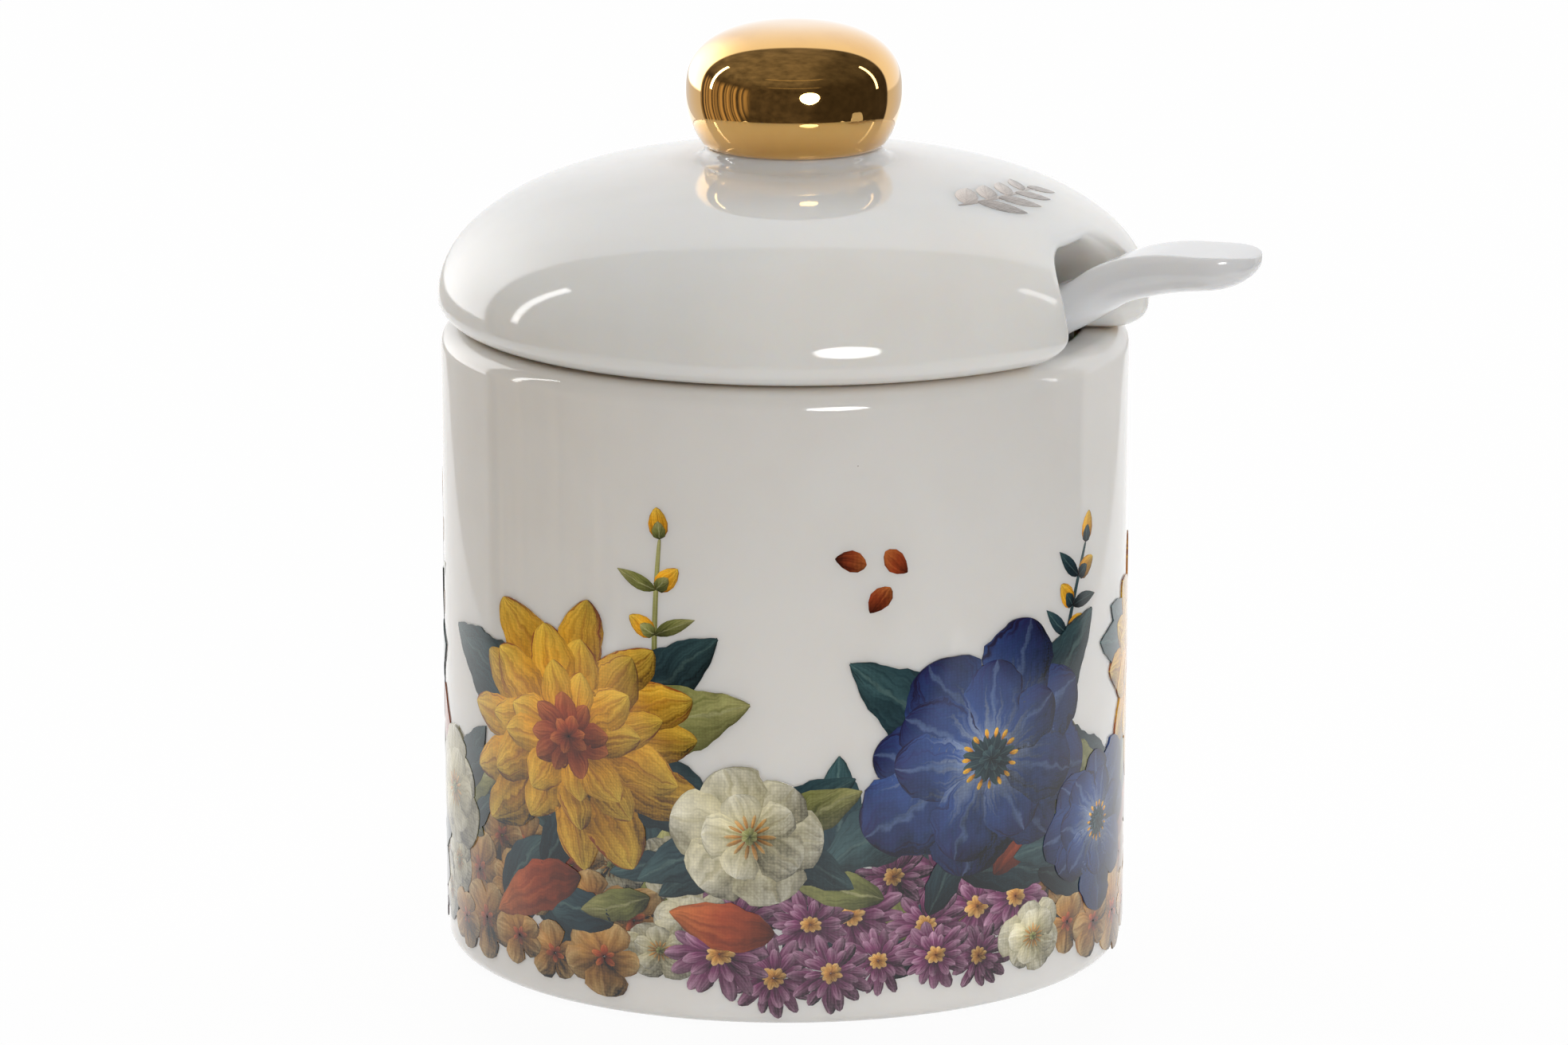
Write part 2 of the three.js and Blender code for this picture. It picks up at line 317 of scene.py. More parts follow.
def new_material(name: str) -> tuple[bpy.types.Material, Sheet, bpy.types.Node]:
    """Makes a material with a Principled shader.

    Args:
        name: Name of the material.

    Returns:
        The material, its node sheet and its shader.
    """
    material = bpy.data.materials.new(name)
    material.use_nodes = True
    sheet = Sheet(material.node_tree)
    shader = sheet.add("BsdfPrincipled")
    sheet.add("OutputMaterial", {"Surface": shader.outputs[0]})
    return material, sheet, shader


@dataclass(frozen=True)
class Glaze:
    """A glossy glaze with faint mottling, pinholes and a bare clay stretch.

    Colours are linear. The bare stretch is given as heights in millimetres.
    """

    name: str
    colour: Colour
    deep: Colour
    roughness: float = 0.06
    clay: Colour = (0.62, 0.5, 0.36)
    bare_from: float = -2.0
    bare_to: float = -1.0
    bare_soft: float = 0.15
    mottle_scale: float = 70.0
    mottle_edges: Point = (0.35, 0.75)
    pinhole_scale: float = 230.0
    pinhole_size: float = 0.026
    pinhole_share: float = 0.93
    pinhole_colour: Colour = (0.16, 0.13, 0.1)
    wave_scale: float = 38.0
    wave_height: float = 0.00006
    clay_roughness: float = 0.8
    glow_share: float = 0.45
    glow_depth: float = 0.005
    glow_reach: Colour = (1.0, 0.85, 0.7)

    def material(self) -> bpy.types.Material:
        """Builds the glaze.

        Returns:
            Its material.
        """
        material, sheet, shader = new_material(self.name)
        place = sheet.add("TexCoord").outputs["Object"]
        mottle = sheet.noise(place, self.mottle_scale, 4.0)
        body = sheet.blend(sheet.ease(mottle, *self.mottle_edges), self.colour, self.deep)
        holes = sheet.specks(place, self.pinhole_scale, self.pinhole_share, self.pinhole_size)
        pricked = sheet.blend(holes, body, self.pinhole_colour)
        height = sheet.add("SeparateXYZ", {0: place}).outputs["Z"]
        soft = self.bare_soft * MM
        above = sheet.ease(height, self.bare_from * MM - soft, self.bare_from * MM + soft)
        below = sheet.ease(height, self.bare_to * MM + soft, self.bare_to * MM - soft)
        bare = sheet.math("MULTIPLY", above, below)
        sheet.put(shader.inputs["Base Color"], sheet.blend(bare, pricked, self.clay))
        sheet.put(shader.inputs["Roughness"], sheet.scaled(bare, self.clay_roughness, self.roughness))
        sheet.waves(shader, place, self.wave_scale, self.wave_height)
        shader.inputs["Subsurface Weight"].default_value = self.glow_share
        shader.inputs["Subsurface Scale"].default_value = self.glow_depth
        shader.inputs["Subsurface Radius"].default_value = self.glow_reach
        return material


@dataclass(frozen=True)
class Lustre:
    """A mirror of gold fired over the glaze, with a few pinholes and fine rubbing."""

    name: str = "gold_lustre_finish"
    colour: Colour = (0.84, 0.48, 0.12)
    worn: Colour = (0.77, 0.42, 0.1)
    pit: Colour = (0.1, 0.08, 0.05)
    roughness: float = 0.035
    rubbing: float = 0.05
    cloud_scale: float = 120.0
    worn_edges: Point = (0.45, 0.8)
    rubbed_edges: Point = (0.5, 0.85)
    pit_scale: float = 330.0
    pit_size: float = 0.06
    pit_share: float = 0.93
    wave_scale: float = 60.0
    wave_height: float = 0.00004
    coat: float = 1.0
    coat_roughness: float = 0.03
    coat_index: float = 1.65

    def material(self) -> bpy.types.Material:
        """Builds the gold.

        Returns:
            Its material.
        """
        material, sheet, shader = new_material(self.name)
        place = sheet.add("TexCoord").outputs["Object"]
        cloud = sheet.noise(place, self.cloud_scale, 5.0)
        gold = sheet.blend(sheet.ease(cloud, *self.worn_edges), self.colour, self.worn)
        pits = sheet.specks(place, self.pit_scale, self.pit_share, self.pit_size)
        sheet.put(shader.inputs["Base Color"], sheet.blend(pits, gold, self.pit))
        shader.inputs["Metallic"].default_value = 1.0
        rubbed = sheet.ease(cloud, *self.rubbed_edges)
        sheet.put(shader.inputs["Roughness"], sheet.scaled(rubbed, self.rubbing, self.roughness))
        sheet.waves(shader, place, self.wave_scale, self.wave_height)
        shader.inputs["Coat Weight"].default_value = self.coat
        shader.inputs["Coat Roughness"].default_value = self.coat_roughness
        shader.inputs["Coat IOR"].default_value = self.coat_index
        return material


@dataclass(frozen=True)
class Ink:
    """Printed colour of a family of petals or leaves.

    The colour runs from root to tip, with streaks along the petal, a darker edge and a vein. Pairs
    of edges are where a mark starts and where it is full.
    """

    name: str
    root: Colour
    middle: Colour
    tip: Colour
    edge: Colour
    vein: Colour
    edge_share: float = 0.7
    vein_share: float = 0.3
    streaks: float = 9.0
    streak_share: float = 0.5
    ribs: float = 0.0
    root_shade: float = 0.42
    flame: float = 1.5
    sway: float = 0.8
    wash_scale: float = 330.0
    wash_share: float = 0.7
    dots: float = 2300.0
    dot_share: float = 0.3
    dot_jitter: float = 0.35
    dot_middle: float = 0.45
    vein_edges: Point = (0.14, 0.02)
    rim_edges: Point = (0.72, 1.06)
    rim_side: float = 0.62
    rim_tip: float = 0.5
    lean_light: float = 0.7
    streak_light: float = 1.3
    sunk_to: float = 0.45
    spread: float = 40.0
    roughness: float = 0.12

    def material(self) -> bpy.types.Material:
        """Builds the ink from the petals' own UV map and tint.

        Returns:
            Its material.
        """
        material, sheet, shader = new_material(self.name)
        uv = sheet.add("UVMap", uv_map="petal").outputs[0]
        split = sheet.add("SeparateXYZ", {0: uv})
        place = sheet.add("TexCoord").outputs["Object"]
        wash = sheet.math("SUBTRACT", sheet.noise(place, self.wash_scale, 4.0), 0.5)
        across = sheet.scaled(split.outputs["X"], 2.0, -1.0)
        across = sheet.math("ADD", across, sheet.math("MULTIPLY", wash, self.sway))
        along = split.outputs["Y"]
        tint = sheet.add("Attribute", attribute_name="tint").outputs["Color"]
        parts = sheet.add("SeparateColor", {0: tint})
        bright, seed, side = (parts.outputs[i] for i in range(3))
        off = sheet.math("ABSOLUTE", across)
        slant = sheet.math("MULTIPLY", off, self.ribs)
        run = sheet.math("SUBTRACT", along, slant)
        stretched = sheet.add("CombineXYZ", {
            "X": sheet.math("MULTIPLY", across, self.streaks * (0.5 if self.ribs == 0.0 else 0.12)),
            "Y": sheet.math("MULTIPLY", run, 1.4 if self.ribs == 0.0 else self.streaks),
            "Z": sheet.math("MULTIPLY", seed, self.spread),
        }).outputs[0]
        streak = sheet.noise(stretched, 1.0, 4.0)
        drift = sheet.math("MULTIPLY", sheet.math("SUBTRACT", streak, 0.5), self.streak_share)
        colour = sheet.ramp(sheet.math("ADD", along, drift), [
            (0.04, self.root),
            (0.5, self.middle),
            (0.95, self.tip),
        ])
        vein = sheet.math("MULTIPLY", sheet.ease(off, *self.vein_edges), self.vein_share)
        colour = sheet.blend(vein, colour, self.vein)
        tips = sheet.math("MULTIPLY", sheet.math("MULTIPLY", along, along), self.rim_tip)
        outer = sheet.math("ADD", sheet.math("MULTIPLY", off, self.rim_side), tips)
        lick = sheet.math("MULTIPLY", sheet.math("SUBTRACT", streak, 0.5), self.flame)
        rim = sheet.ease(sheet.math("ADD", outer, lick), *self.rim_edges)
        colour = sheet.blend(sheet.math("MULTIPLY", rim, self.edge_share), colour, self.edge)
        lean = sheet.math("MULTIPLY", across, sheet.math("SUBTRACT", side, 0.5))
        light = sheet.math("ADD", bright, sheet.math("MULTIPLY", lean, self.lean_light))
        light = sheet.math("ADD", light, sheet.math("MULTIPLY", drift, self.streak_light))
        sunk = sheet.add("MapRange", {
            "Value": along,
            "From Min": 0.0,
            "From Max": self.sunk_to,
            "To Min": self.root_shade,
            "To Max": 1.0,
        }).outputs[0]
        light = sheet.math("MULTIPLY", light, sunk)
        light = sheet.math("ADD", light, sheet.math("MULTIPLY", wash, self.wash_share))
        cells = {"Vector": place, "Scale": self.dots, "Randomness": self.dot_jitter}
        screen = sheet.add("TexVoronoi", cells)
        dot = sheet.math("SUBTRACT", self.dot_middle, screen.outputs["Distance"])
        light = sheet.math("ADD", light, sheet.math("MULTIPLY", dot, self.dot_share))
        sheet.put(shader.inputs["Base Color"], sheet.blend(1.0, colour, sheet.grey(light), "MULTIPLY"))
        shader.inputs["Roughness"].default_value = self.roughness
        return material


@dataclass
class JarBody:
    """The straight-sided pot."""

    radius: float = 49.7
    base_radius: float = 49.2
    height: float = 92.0
    wall: float = 5.0
    floor: float = 5.0
    base_round: float = 3.0
    rim_width: float = 7.3
    rim_band: float = 7.0
    rim_ease: float = 6.0
    rim_round: float = 3.0
    mouth_round: float = 1.3
    inside_corner: float = 8.0
    columns: int = 256
    wall_rows: int = 20
    ease_rows: int = 8
    inside_rows: int = 8

    def wall_radius(self, height: float) -> float:
        """Returns the outside radius at a height."""
        return mixed(self.base_radius, self.radius, height / self.height)

    def wrap(self, around: float, height: float, proud: float) -> Vector:
        """Lays a point of the unrolled wall on the pot.

        Args:
            around: Distance to the right of the front, along the wall.
            height: Height above the table.
            proud: Distance out from the wall.

        Returns:
            The point in the part's frame.
        """
        turn = FRONT + around / self.radius
        return polar(self.wall_radius(height) + proud, turn, height)

    def profile(self) -> list[Point]:
        """Draws the wall's outline.

        Returns:
            Its points from the middle of the base round to the middle of the floor.
        """
        mouth = self.radius - self.rim_width
        band_foot = self.height - self.rim_band
        ease_foot = band_foot - self.rim_ease
        corner_top = self.floor + self.inside_corner
        points = [(0.0, 0.0), (0.5 * self.base_radius, 0.0)]
        low = (self.base_radius - self.base_round, self.base_round)
        points += arc(low, (self.base_round, self.base_round), -90.0, 0.0, 8)
        rim_foot = self.height - self.rim_round
        for row in range(1, self.wall_rows):
            height = mixed(self.base_round, rim_foot, row / self.wall_rows)
            points.append((self.wall_radius(height), height))
        shoulder = (self.radius - self.rim_round, rim_foot)
        points += arc(shoulder, (self.rim_round, self.rim_round), 0.0, 90.0, 10)
        lip = (mouth + self.mouth_round, self.height - self.mouth_round)
        points += arc(lip, (self.mouth_round, self.mouth_round), 90.0, 180.0, 6)
        inside = self.wall_radius(ease_foot) - self.wall
        for row in range(self.ease_rows + 1):
            share = row / self.ease_rows
            points.append((mixed(mouth, inside, smooth(share)), mixed(band_foot, ease_foot, share)))
        corner = self.wall_radius(corner_top) - self.wall - self.inside_corner
        for row in range(1, self.inside_rows):
            height = mixed(ease_foot, corner_top, row / self.inside_rows)
            points.append((self.wall_radius(height) - self.wall, height))
        points += arc((corner, corner_top), (self.inside_corner, self.inside_corner), 0.0, -90.0, 8)
        points += [(0.5 * corner, self.floor), (0.0, self.floor)]
        return points

    def build(self, glaze: Glaze) -> bpy.types.Object:
        """Spins the pot and dresses it.

        Args:
            glaze: Its glaze.

        Returns:
            The piece.
        """
        piece = finished(spun(self.profile(), self.columns), "pot", glaze.material())
        settle(piece, "jar")
        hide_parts("jar_body")
        return piece


@dataclass
class Lid:
    """The domed lid with its spoon notch, locating flange and neck.

    Heights are above the seat. A column of the mesh runs from the neck over the dome to the rim,
    or to the edge of the notch, round that edge and back up the inside.
    """

    shift: float = 1.4
    seat: float = 92.3
    radius: float = 51.4
    seat_radius: float = 46.0
    edge_height: float = 4.1
    crown_rise: float = 19.8
    powers: Point = (2.86, 1.95)
    wall: float = 4.2
    flange_radius: float = 40.4
    flange_wall: float = 3.0
    flange_depth: float = 5.0
    flange_round: float = 0.8
    notch_half: float = 12.4
    notch_top: float = 14.3
    notch_corner: float = 9.0
    notch_flare: float = 4.0
    notch_taper: float = 0.66
    lip: float = 1.6
    lip_top: float = 2.2
    lip_depth: float = 4.5
    lip_inside: float = 1.4
    foot_share: float = 0.6
    jamb: float = 17.0
    jamb_columns: int = 26
    ledge_blend: float = 1.5
    neck_radius: float = 12.8
    neck_flare: float = 2.4
    neck_top: float = 25.45
    neck_round: float = 0.5
    spigot_radius: float = 7.0
    spigot_height: float = 5.0
    half_columns: int = 128
    notch_columns: int = 44
    flange_columns: int = 9
    dome_rows: int = 30
    dome_pace: float = 1.25
    fan: float = 2.2
    column_pace: float = 0.32
    motif_radius: float = 33.0
    motif_azimuth: float = 62.0

    def outer(self, turn: float) -> Point:
        """Finds a point on the outside.

        Args:
            turn: Angle in radians, 0 at the widest line, positive above it and negative below it.

        Returns:
            Radius and height of the point.
        """
        if turn < 0.0:
            run = self.radius - self.seat_radius
            return self.seat_radius + run * math.cos(turn), self.edge_height * (1.0 + math.sin(turn))
        return crown(self.radius, self.crown_rise, self.edge_height, self.powers, turn)

    def outer_turn(self, height: float) -> float:
        """Finds where the outside has a height.

        Args:
            height: The height.

        Returns:
            The angle that outer takes.
        """
        rise = height - self.edge_height
        if rise < 0.0:
            return math.asin(rise / self.edge_height)
        return math.asin((rise / self.crown_rise) ** (self.powers[1] / 2.0))

    def dome_height(self, radius: float) -> float:
        """Returns the height of the outside of the dome at a radius."""
        turn = math.acos((radius / self.radius) ** (self.powers[0] / 2.0))
        return self.outer(turn)[1]

    def inner(self, place: float) -> Point:
        """Finds a point on the inside.

        Args:
            place: 0 to 1 on the flange's face, to 2 on the ledge and to 3 on the dome.

        Returns:
            Radius and height of the point.
        """
        flange = self.flange_radius - self.flange_wall
        if place < 1.0:
            return flange, mixed(self.lip_inside, self.edge_height, place)
        reach = self.radius - self.wall
        if place < 2.0:
            return mixed(flange, reach, place - 1.0), self.edge_height
        rise = self.crown_rise - self.wall
        return crown(reach, rise, self.edge_height, self.powers, 0.5 * math.pi * min(place - 2.0, 1.0))

    def inner_place(self, height: float) -> float:
        """Finds where a cut meets the inside.

        Args:
            height: Height of the cut.

        Returns:
            The place that inner takes.
        """
        over = height - self.edge_height
        if over < 0.0:
            return (height - self.lip_inside) / (self.edge_height - self.lip_inside)
        if over < self.ledge_blend:
            return 1.0 + smooth(over / self.ledge_blend)
        most = self.notch_top + self.lip_inside - self.edge_height
        rise = (over - self.ledge_blend) * most / (most - self.ledge_blend)
        share = rise / (self.crown_rise - self.wall)
        return 2.0 + math.asin(share ** (self.powers[1] / 2.0)) / (0.5 * math.pi)

    def jamb_limit(self, number: int) -> float:
        """Returns the largest radius of the inside at a column, less beside the notch's thick jambs."""
        share = (number - self.notch_columns) / self.jamb_columns
        return self.radius - mixed(self.jamb, 0.0, smooth(share))

    def notch_length(self) -> float:
        """Measures half the notch's edge.

        Returns:
            Its length from the top to the end of the flared foot.
        """
        flat = self.notch_half - self.notch_corner
        side = self.notch_top - self.notch_corner - self.notch_flare
        return flat + side + 0.5 * math.pi * (self.notch_corner + self.notch_flare)

    def notch_edge(self, run: float) -> tuple[float, float, float, float]:
        """Finds a place on the notch's edge, seen from the front.

        Args:
            run: Distance along the edge from the top of the notch.

        Returns:
            Side and height of the place, and the direction into the opening.
        """
        flat = self.notch_half - self.notch_corner
        if run < flat:
            return run, self.notch_top, 0.0, -1.0
        run -= flat
        bend = 0.5 * math.pi * self.notch_corner
        if run < bend:
            turn = run / self.notch_corner
            side = flat + self.notch_corner * math.sin(turn)
            height = self.notch_top - self.notch_corner * (1.0 - math.cos(turn))
            return side, height, -math.sin(turn), -math.cos(turn)
        run -= bend
        drop = self.notch_top - self.notch_corner - self.notch_flare
        if run < drop:
            return self.notch_half, self.notch_top - self.notch_corner - run, -1.0, 0.0
        turn = (run - drop) / self.notch_flare
        side = self.notch_half + self.notch_flare * (1.0 - math.cos(turn))
        return side, self.notch_flare * (1.0 - math.sin(turn)), -math.cos(turn), -math.sin(turn)

    def seat_rows(self, turn: float, depth: float) -> list[Vector]:
        """Lays the rows under the rim: lower edge, seat and flange.

        Args:
            turn: Azimuth of the column.
            depth: Share of the flange's full depth.

        Returns:
            Eleven points.
        """
        drop = self.flange_depth * depth
        inside = self.flange_radius - self.flange_wall
        ease = self.flange_round
        rows = [self.outer(math.radians(angle)) for angle in (-48.0, -62.0, -76.0, -90.0)]
        rows += [
            (0.5 * (self.flange_radius + self.seat_radius), 0.0),
            (self.flange_radius + ease, 0.0),
            (self.flange_radius, -ease * depth),
            (self.flange_radius, ease * depth - drop),
            (self.flange_radius - ease, -drop),
            (inside + ease, -drop),
            (inside, ease * depth - drop),
        ]
        return [polar(radius, turn, height) for radius, height in rows]

    def lip_at(self, run: float) -> float:
        """Sizes the rounding of the notch's edge, wide at the top and less at the foot.

        Args:
            run: Distance along the edge from the top of the notch.

        Returns:
            How far out the rounding starts.
        """
        bend = 0.5 * math.pi * self.notch_corner
        start = self.notch_half - self.notch_corner + 0.35 * bend
        end = self.notch_length() - 0.5 * math.pi * self.notch_flare
        return mixed(self.lip_top, self.lip, smooth((run - start) / (end - start)))

    def front_point(self, side: float, height: float) -> Vector:
        """Returns the point on the outside that has a side and a height, seen from the notch's front."""
        reach = self.outer(self.outer_turn(height))[0]
        return Vector((math.sqrt(reach * reach - side * side), side, height))

    def edge_rows(self, edge: tuple[float, float, float, float], lip: float, inside: Vector) -> list[Vector]:
        """Rounds the notch's edge over from the outside to the inside.

        Args:
            edge: Side and height on the notch's edge, and the direction into the opening.
            lip: How far out the rounding starts.
            inside: Where it ends.

        Returns:
            Eleven points.
        """
        side, height, into_side, into_height = edge
        into = Vector((0.0, into_side, into_height))
        outer = self.front_point(side, height)
        across = inside + into * self.lip_inside - outer
        length = across.length
        across.normalize()
        deep = min(self.lip_depth, 0.5 * length)
        near = []
        for angle in (18.0, 36.0, 54.0, 72.0, 90.0):
            turn = math.radians(angle)
            back = lip * (1.0 - math.sin(turn))
            start = self.front_point(side - into_side * back, height - into_height * back)
            near.append(start + across * (deep * (1.0 - math.cos(turn))))
        ease = min(self.lip_inside, 0.4 * length)
        flat = [outer + across * mixed(deep, length - ease, share) for share in (0.25, 0.5, 0.75)]
        far = []
        for angle in (90.0, 60.0, 30.0):
            turn = math.radians(angle)
            back = self.lip_inside * (1.0 - math.sin(turn))
            far.append(outer + across * (length - ease * (1.0 - math.cos(turn))) - into * back)
        return near + flat + far

    def neck_rows(self) -> list[Point]:
        """Draws the outline of the spigot and the neck.

        Returns:
            Its points down to the dome.
        """
        foot = self.neck_radius + self.neck_flare
        top = self.neck_top + self.spigot_height
        height = self.dome_height(foot)
        rows = [
            (0.0, top),
            (self.spigot_radius - self.neck_round, top),
            (self.spigot_radius, top - self.neck_round),
            (self.spigot_radius, self.neck_top),
            (self.neck_radius - self.neck_round, self.neck_top),
        ]
        radii = (self.neck_flare, self.neck_top - height)
        return rows + arc((foot, self.neck_top), radii, 184.0, 268.0, 8)

    def edge_azimuth(self, number: int, side: float, height: float) -> float:
        """Finds where a column reaches the rim or the edge of the notch.

        Args:
            number: Number of the column.
            side: Side of its end, for a column that ends at the notch.
            height: Height of its end.

        Returns:
            The azimuth in radians.
        """
        reach = self.outer(self.outer_turn(height))[0]
        if number <= self.notch_columns:
            return math.asin(side / reach)
        first = math.asin((self.notch_half + self.notch_flare) / reach)
        share = (number - self.notch_columns) / (self.half_columns - self.notch_columns)
        pace = self.column_pace * share + (1.0 - self.column_pace) * share * share
        return mixed(first, math.pi, pace)

    def dome_points(self, ring: float, edge: float, height: float) -> list[Vector]:
        """Lays a column's rows over the dome.

        Args:
            ring: Azimuth at the neck.
            edge: Azimuth at the end of the dome.
            height: Height of that end.

        Returns:
            The points from the neck out.
        """
        start = math.acos(((self.neck_radius + self.neck_flare) / self.radius) ** (self.powers[0] / 2.0))
        end = self.outer_turn(height)
        points = []
        for row in range(self.dome_rows + 1):
            share = 1.0 - (1.0 - row / self.dome_rows) ** self.dome_pace
            radius, rise = self.outer(mixed(start, end, share))
            points.append(polar(radius, mixed(ring, edge, share**self.fan), rise))
        return points

    def inside_points(self, ring: float, edge: float, place: float, limit: float) -> list[Vector]:
        """Lays a column's rows up the inside.

        Args:
            ring: Azimuth at the top.
            edge: Azimuth at the foot.
            place: Where on the inside the column starts.
            limit: Its largest radius.

        Returns:
            The points from the foot up.
        """
        stations = [0.0, 0.5, 1.0, 1.5, 2.0]
        stations += [2.0 + (i / self.dome_rows) for i in range(1, self.dome_rows + 1)]
        points = []
        for station in stations:
            share = station / 3.0
            radius, height = self.inner(mixed(place, 3.0, share))
            turn = mixed(ring, edge, (1.0 - share) ** self.fan)
            points.append(polar(min(radius, limit), turn, height))
        return points

    def column(self, number: int) -> list[Vector]:
        """Lays one column of the mesh.

        Args:
            number: 0 at the middle of the notch, the number of half columns at the back.

        Returns:
            Its points from the spigot over the dome to the top of the inside.
        """
        ring = math.pi * number / self.half_columns
        in_notch = number <= self.notch_columns
        if in_notch:
            length = self.notch_length()
            run = length * number / self.notch_columns
            notch = self.notch_edge(run)
            lip = self.lip_at(run)
            side = notch[0] - lip * notch[2]
            height = notch[1] - lip * notch[3]
            inside_side = self.notch_taper * notch[0] - self.lip_inside * notch[2]
            inside_cut = notch[1] - self.lip_inside * notch[3]
            foot = self.foot_share * 0.5 * math.pi * self.notch_flare
            plain = smooth((run - length + foot) / foot)
            depth = 0.0
        else:
            side = 0.0
            height = self.lip
            inside_side = 0.0
            inside_cut = self.lip_inside
            plain = 1.0
            depth = smooth((number - self.notch_columns) / self.flange_columns)
        edge = self.edge_azimuth(number, side, height)
        place = self.inner_place(inside_cut)
        limit = self.jamb_limit(number)
        inside_radius, inside_height = self.inner(place)
        inside_radius = min(inside_radius, limit)
        inside_edge = math.asin(inside_side / inside_radius) if in_notch else edge
        under = self.seat_rows(edge, depth)
        if plain < 1.0:
            rounded = self.edge_rows(notch, lip, polar(inside_radius, inside_edge, inside_height))
            under = [a.lerp(b, plain) for a, b in zip(rounded, under)]
        neck = [polar(radius, ring, rise) for radius, rise in self.neck_rows()]
        dome = self.dome_points(ring, edge, height)
        return neck + dome + under + self.inside_points(ring, inside_edge, place, limit)

    def wrap(self, around: float, height: float, proud: float) -> Vector:
        """Lays a point of a flat motif on the right of the dome.

        Args:
            around: Distance to the right in the motif.
            height: Distance up in the motif.
            proud: Distance out from the dome.

        Returns:
            The point in the part's frame.
        """
        turn = FRONT + math.radians(self.motif_azimuth) + around / self.motif_radius
        radius = self.motif_radius - height
        step = 0.05
        slope = self.dome_height(radius + step) - self.dome_height(radius - step)
        normal = Vector((-slope, 2.0 * step)).normalized()
        rise = self.dome_height(radius) + normal.y * proud
        return polar(radius + normal.x * proud, turn, rise) + Vector((self.shift, 0.0, self.seat))

    def build(self, glaze: Glaze) -> bpy.types.Object:
        """Spins the lid, opens its notch and dresses it.

        Args:
            glaze: Its glaze.

        Returns:
            The piece.
        """
        columns = [self.column(number) for number in range(self.half_columns + 1)]
        back = [(math.hypot(p.x, p.y), p.z) for p in columns[-1]]
        bm = spun(back, 2 * self.half_columns)
        rows = bm.verts.layers.int["row"]
        for vert in bm.verts:
            if math.hypot(vert.co.x, vert.co.y) < WELD:
                continue
            turn = math.atan2(vert.co.y, vert.co.x)
            number = round(abs(turn) / math.pi * self.half_columns)
            vert.co = columns[number][vert[rows]]
            if turn < 0.0:
                vert.co.y = -vert.co.y
        bmesh.ops.translate(bm, verts=bm.verts[:], vec=(self.shift, 0.0, self.seat))
        piece = finished(bm, "domed_lid", glaze.material())
        settle(piece, "cover")
        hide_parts("lid")
        return piece


@dataclass
class Knob:
    """The flattened ball knob."""

    shift: float = 1.4
    foot: float = 117.77
    neck_radius: float = 12.8
    radius: float = 15.6
    belly: float = 13.5
    crown_rise: float = 10.05
    power: float = 2.5
    bore: float = 7.3
    bore_height: float = 11.0
    foot_round: float = 0.5
    foot_gap: float = 1.5
    columns: int = 160
    crown_rows: int = 28

    def profile(self) -> list[Point]:
        """Draws the knob's outline.

        Returns:
            Its points from the top of the bore round the foot to the top.
        """
        turn = math.acos(self.neck_radius / self.radius)
        waist = self.belly * math.sin(turn)
        points = [(0.0, self.bore_height), (self.bore, self.bore_height), (self.bore, self.foot_round)]
        points += [(self.bore + self.foot_round, 0.0), (self.neck_radius - self.foot_round, 0.0)]
        start = self.foot_gap - math.degrees(turn)
        points += arc((0.0, waist), (self.radius, self.belly), start, 0.0, 14)
        powers = (self.power, self.power)
        for row in range(1, self.crown_rows + 1):
            lift = 0.5 * math.pi * row / self.crown_rows
            points.append(crown(self.radius, self.crown_rise, waist, powers, lift))
        return points

    def build(self, lustre: Lustre) -> bpy.types.Object:
        """Spins the knob and gilds it.

        Args:
            lustre: Its gold.

        Returns:
            The piece.
        """
        bm = spun(self.profile(), self.columns)
        bmesh.ops.translate(bm, verts=bm.verts[:], vec=(self.shift, 0.0, self.foot))
        piece = finished(bm, "gilt_knob", lustre.material())
        settle(piece, "cover")
        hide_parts("lid_knob")
        return piece


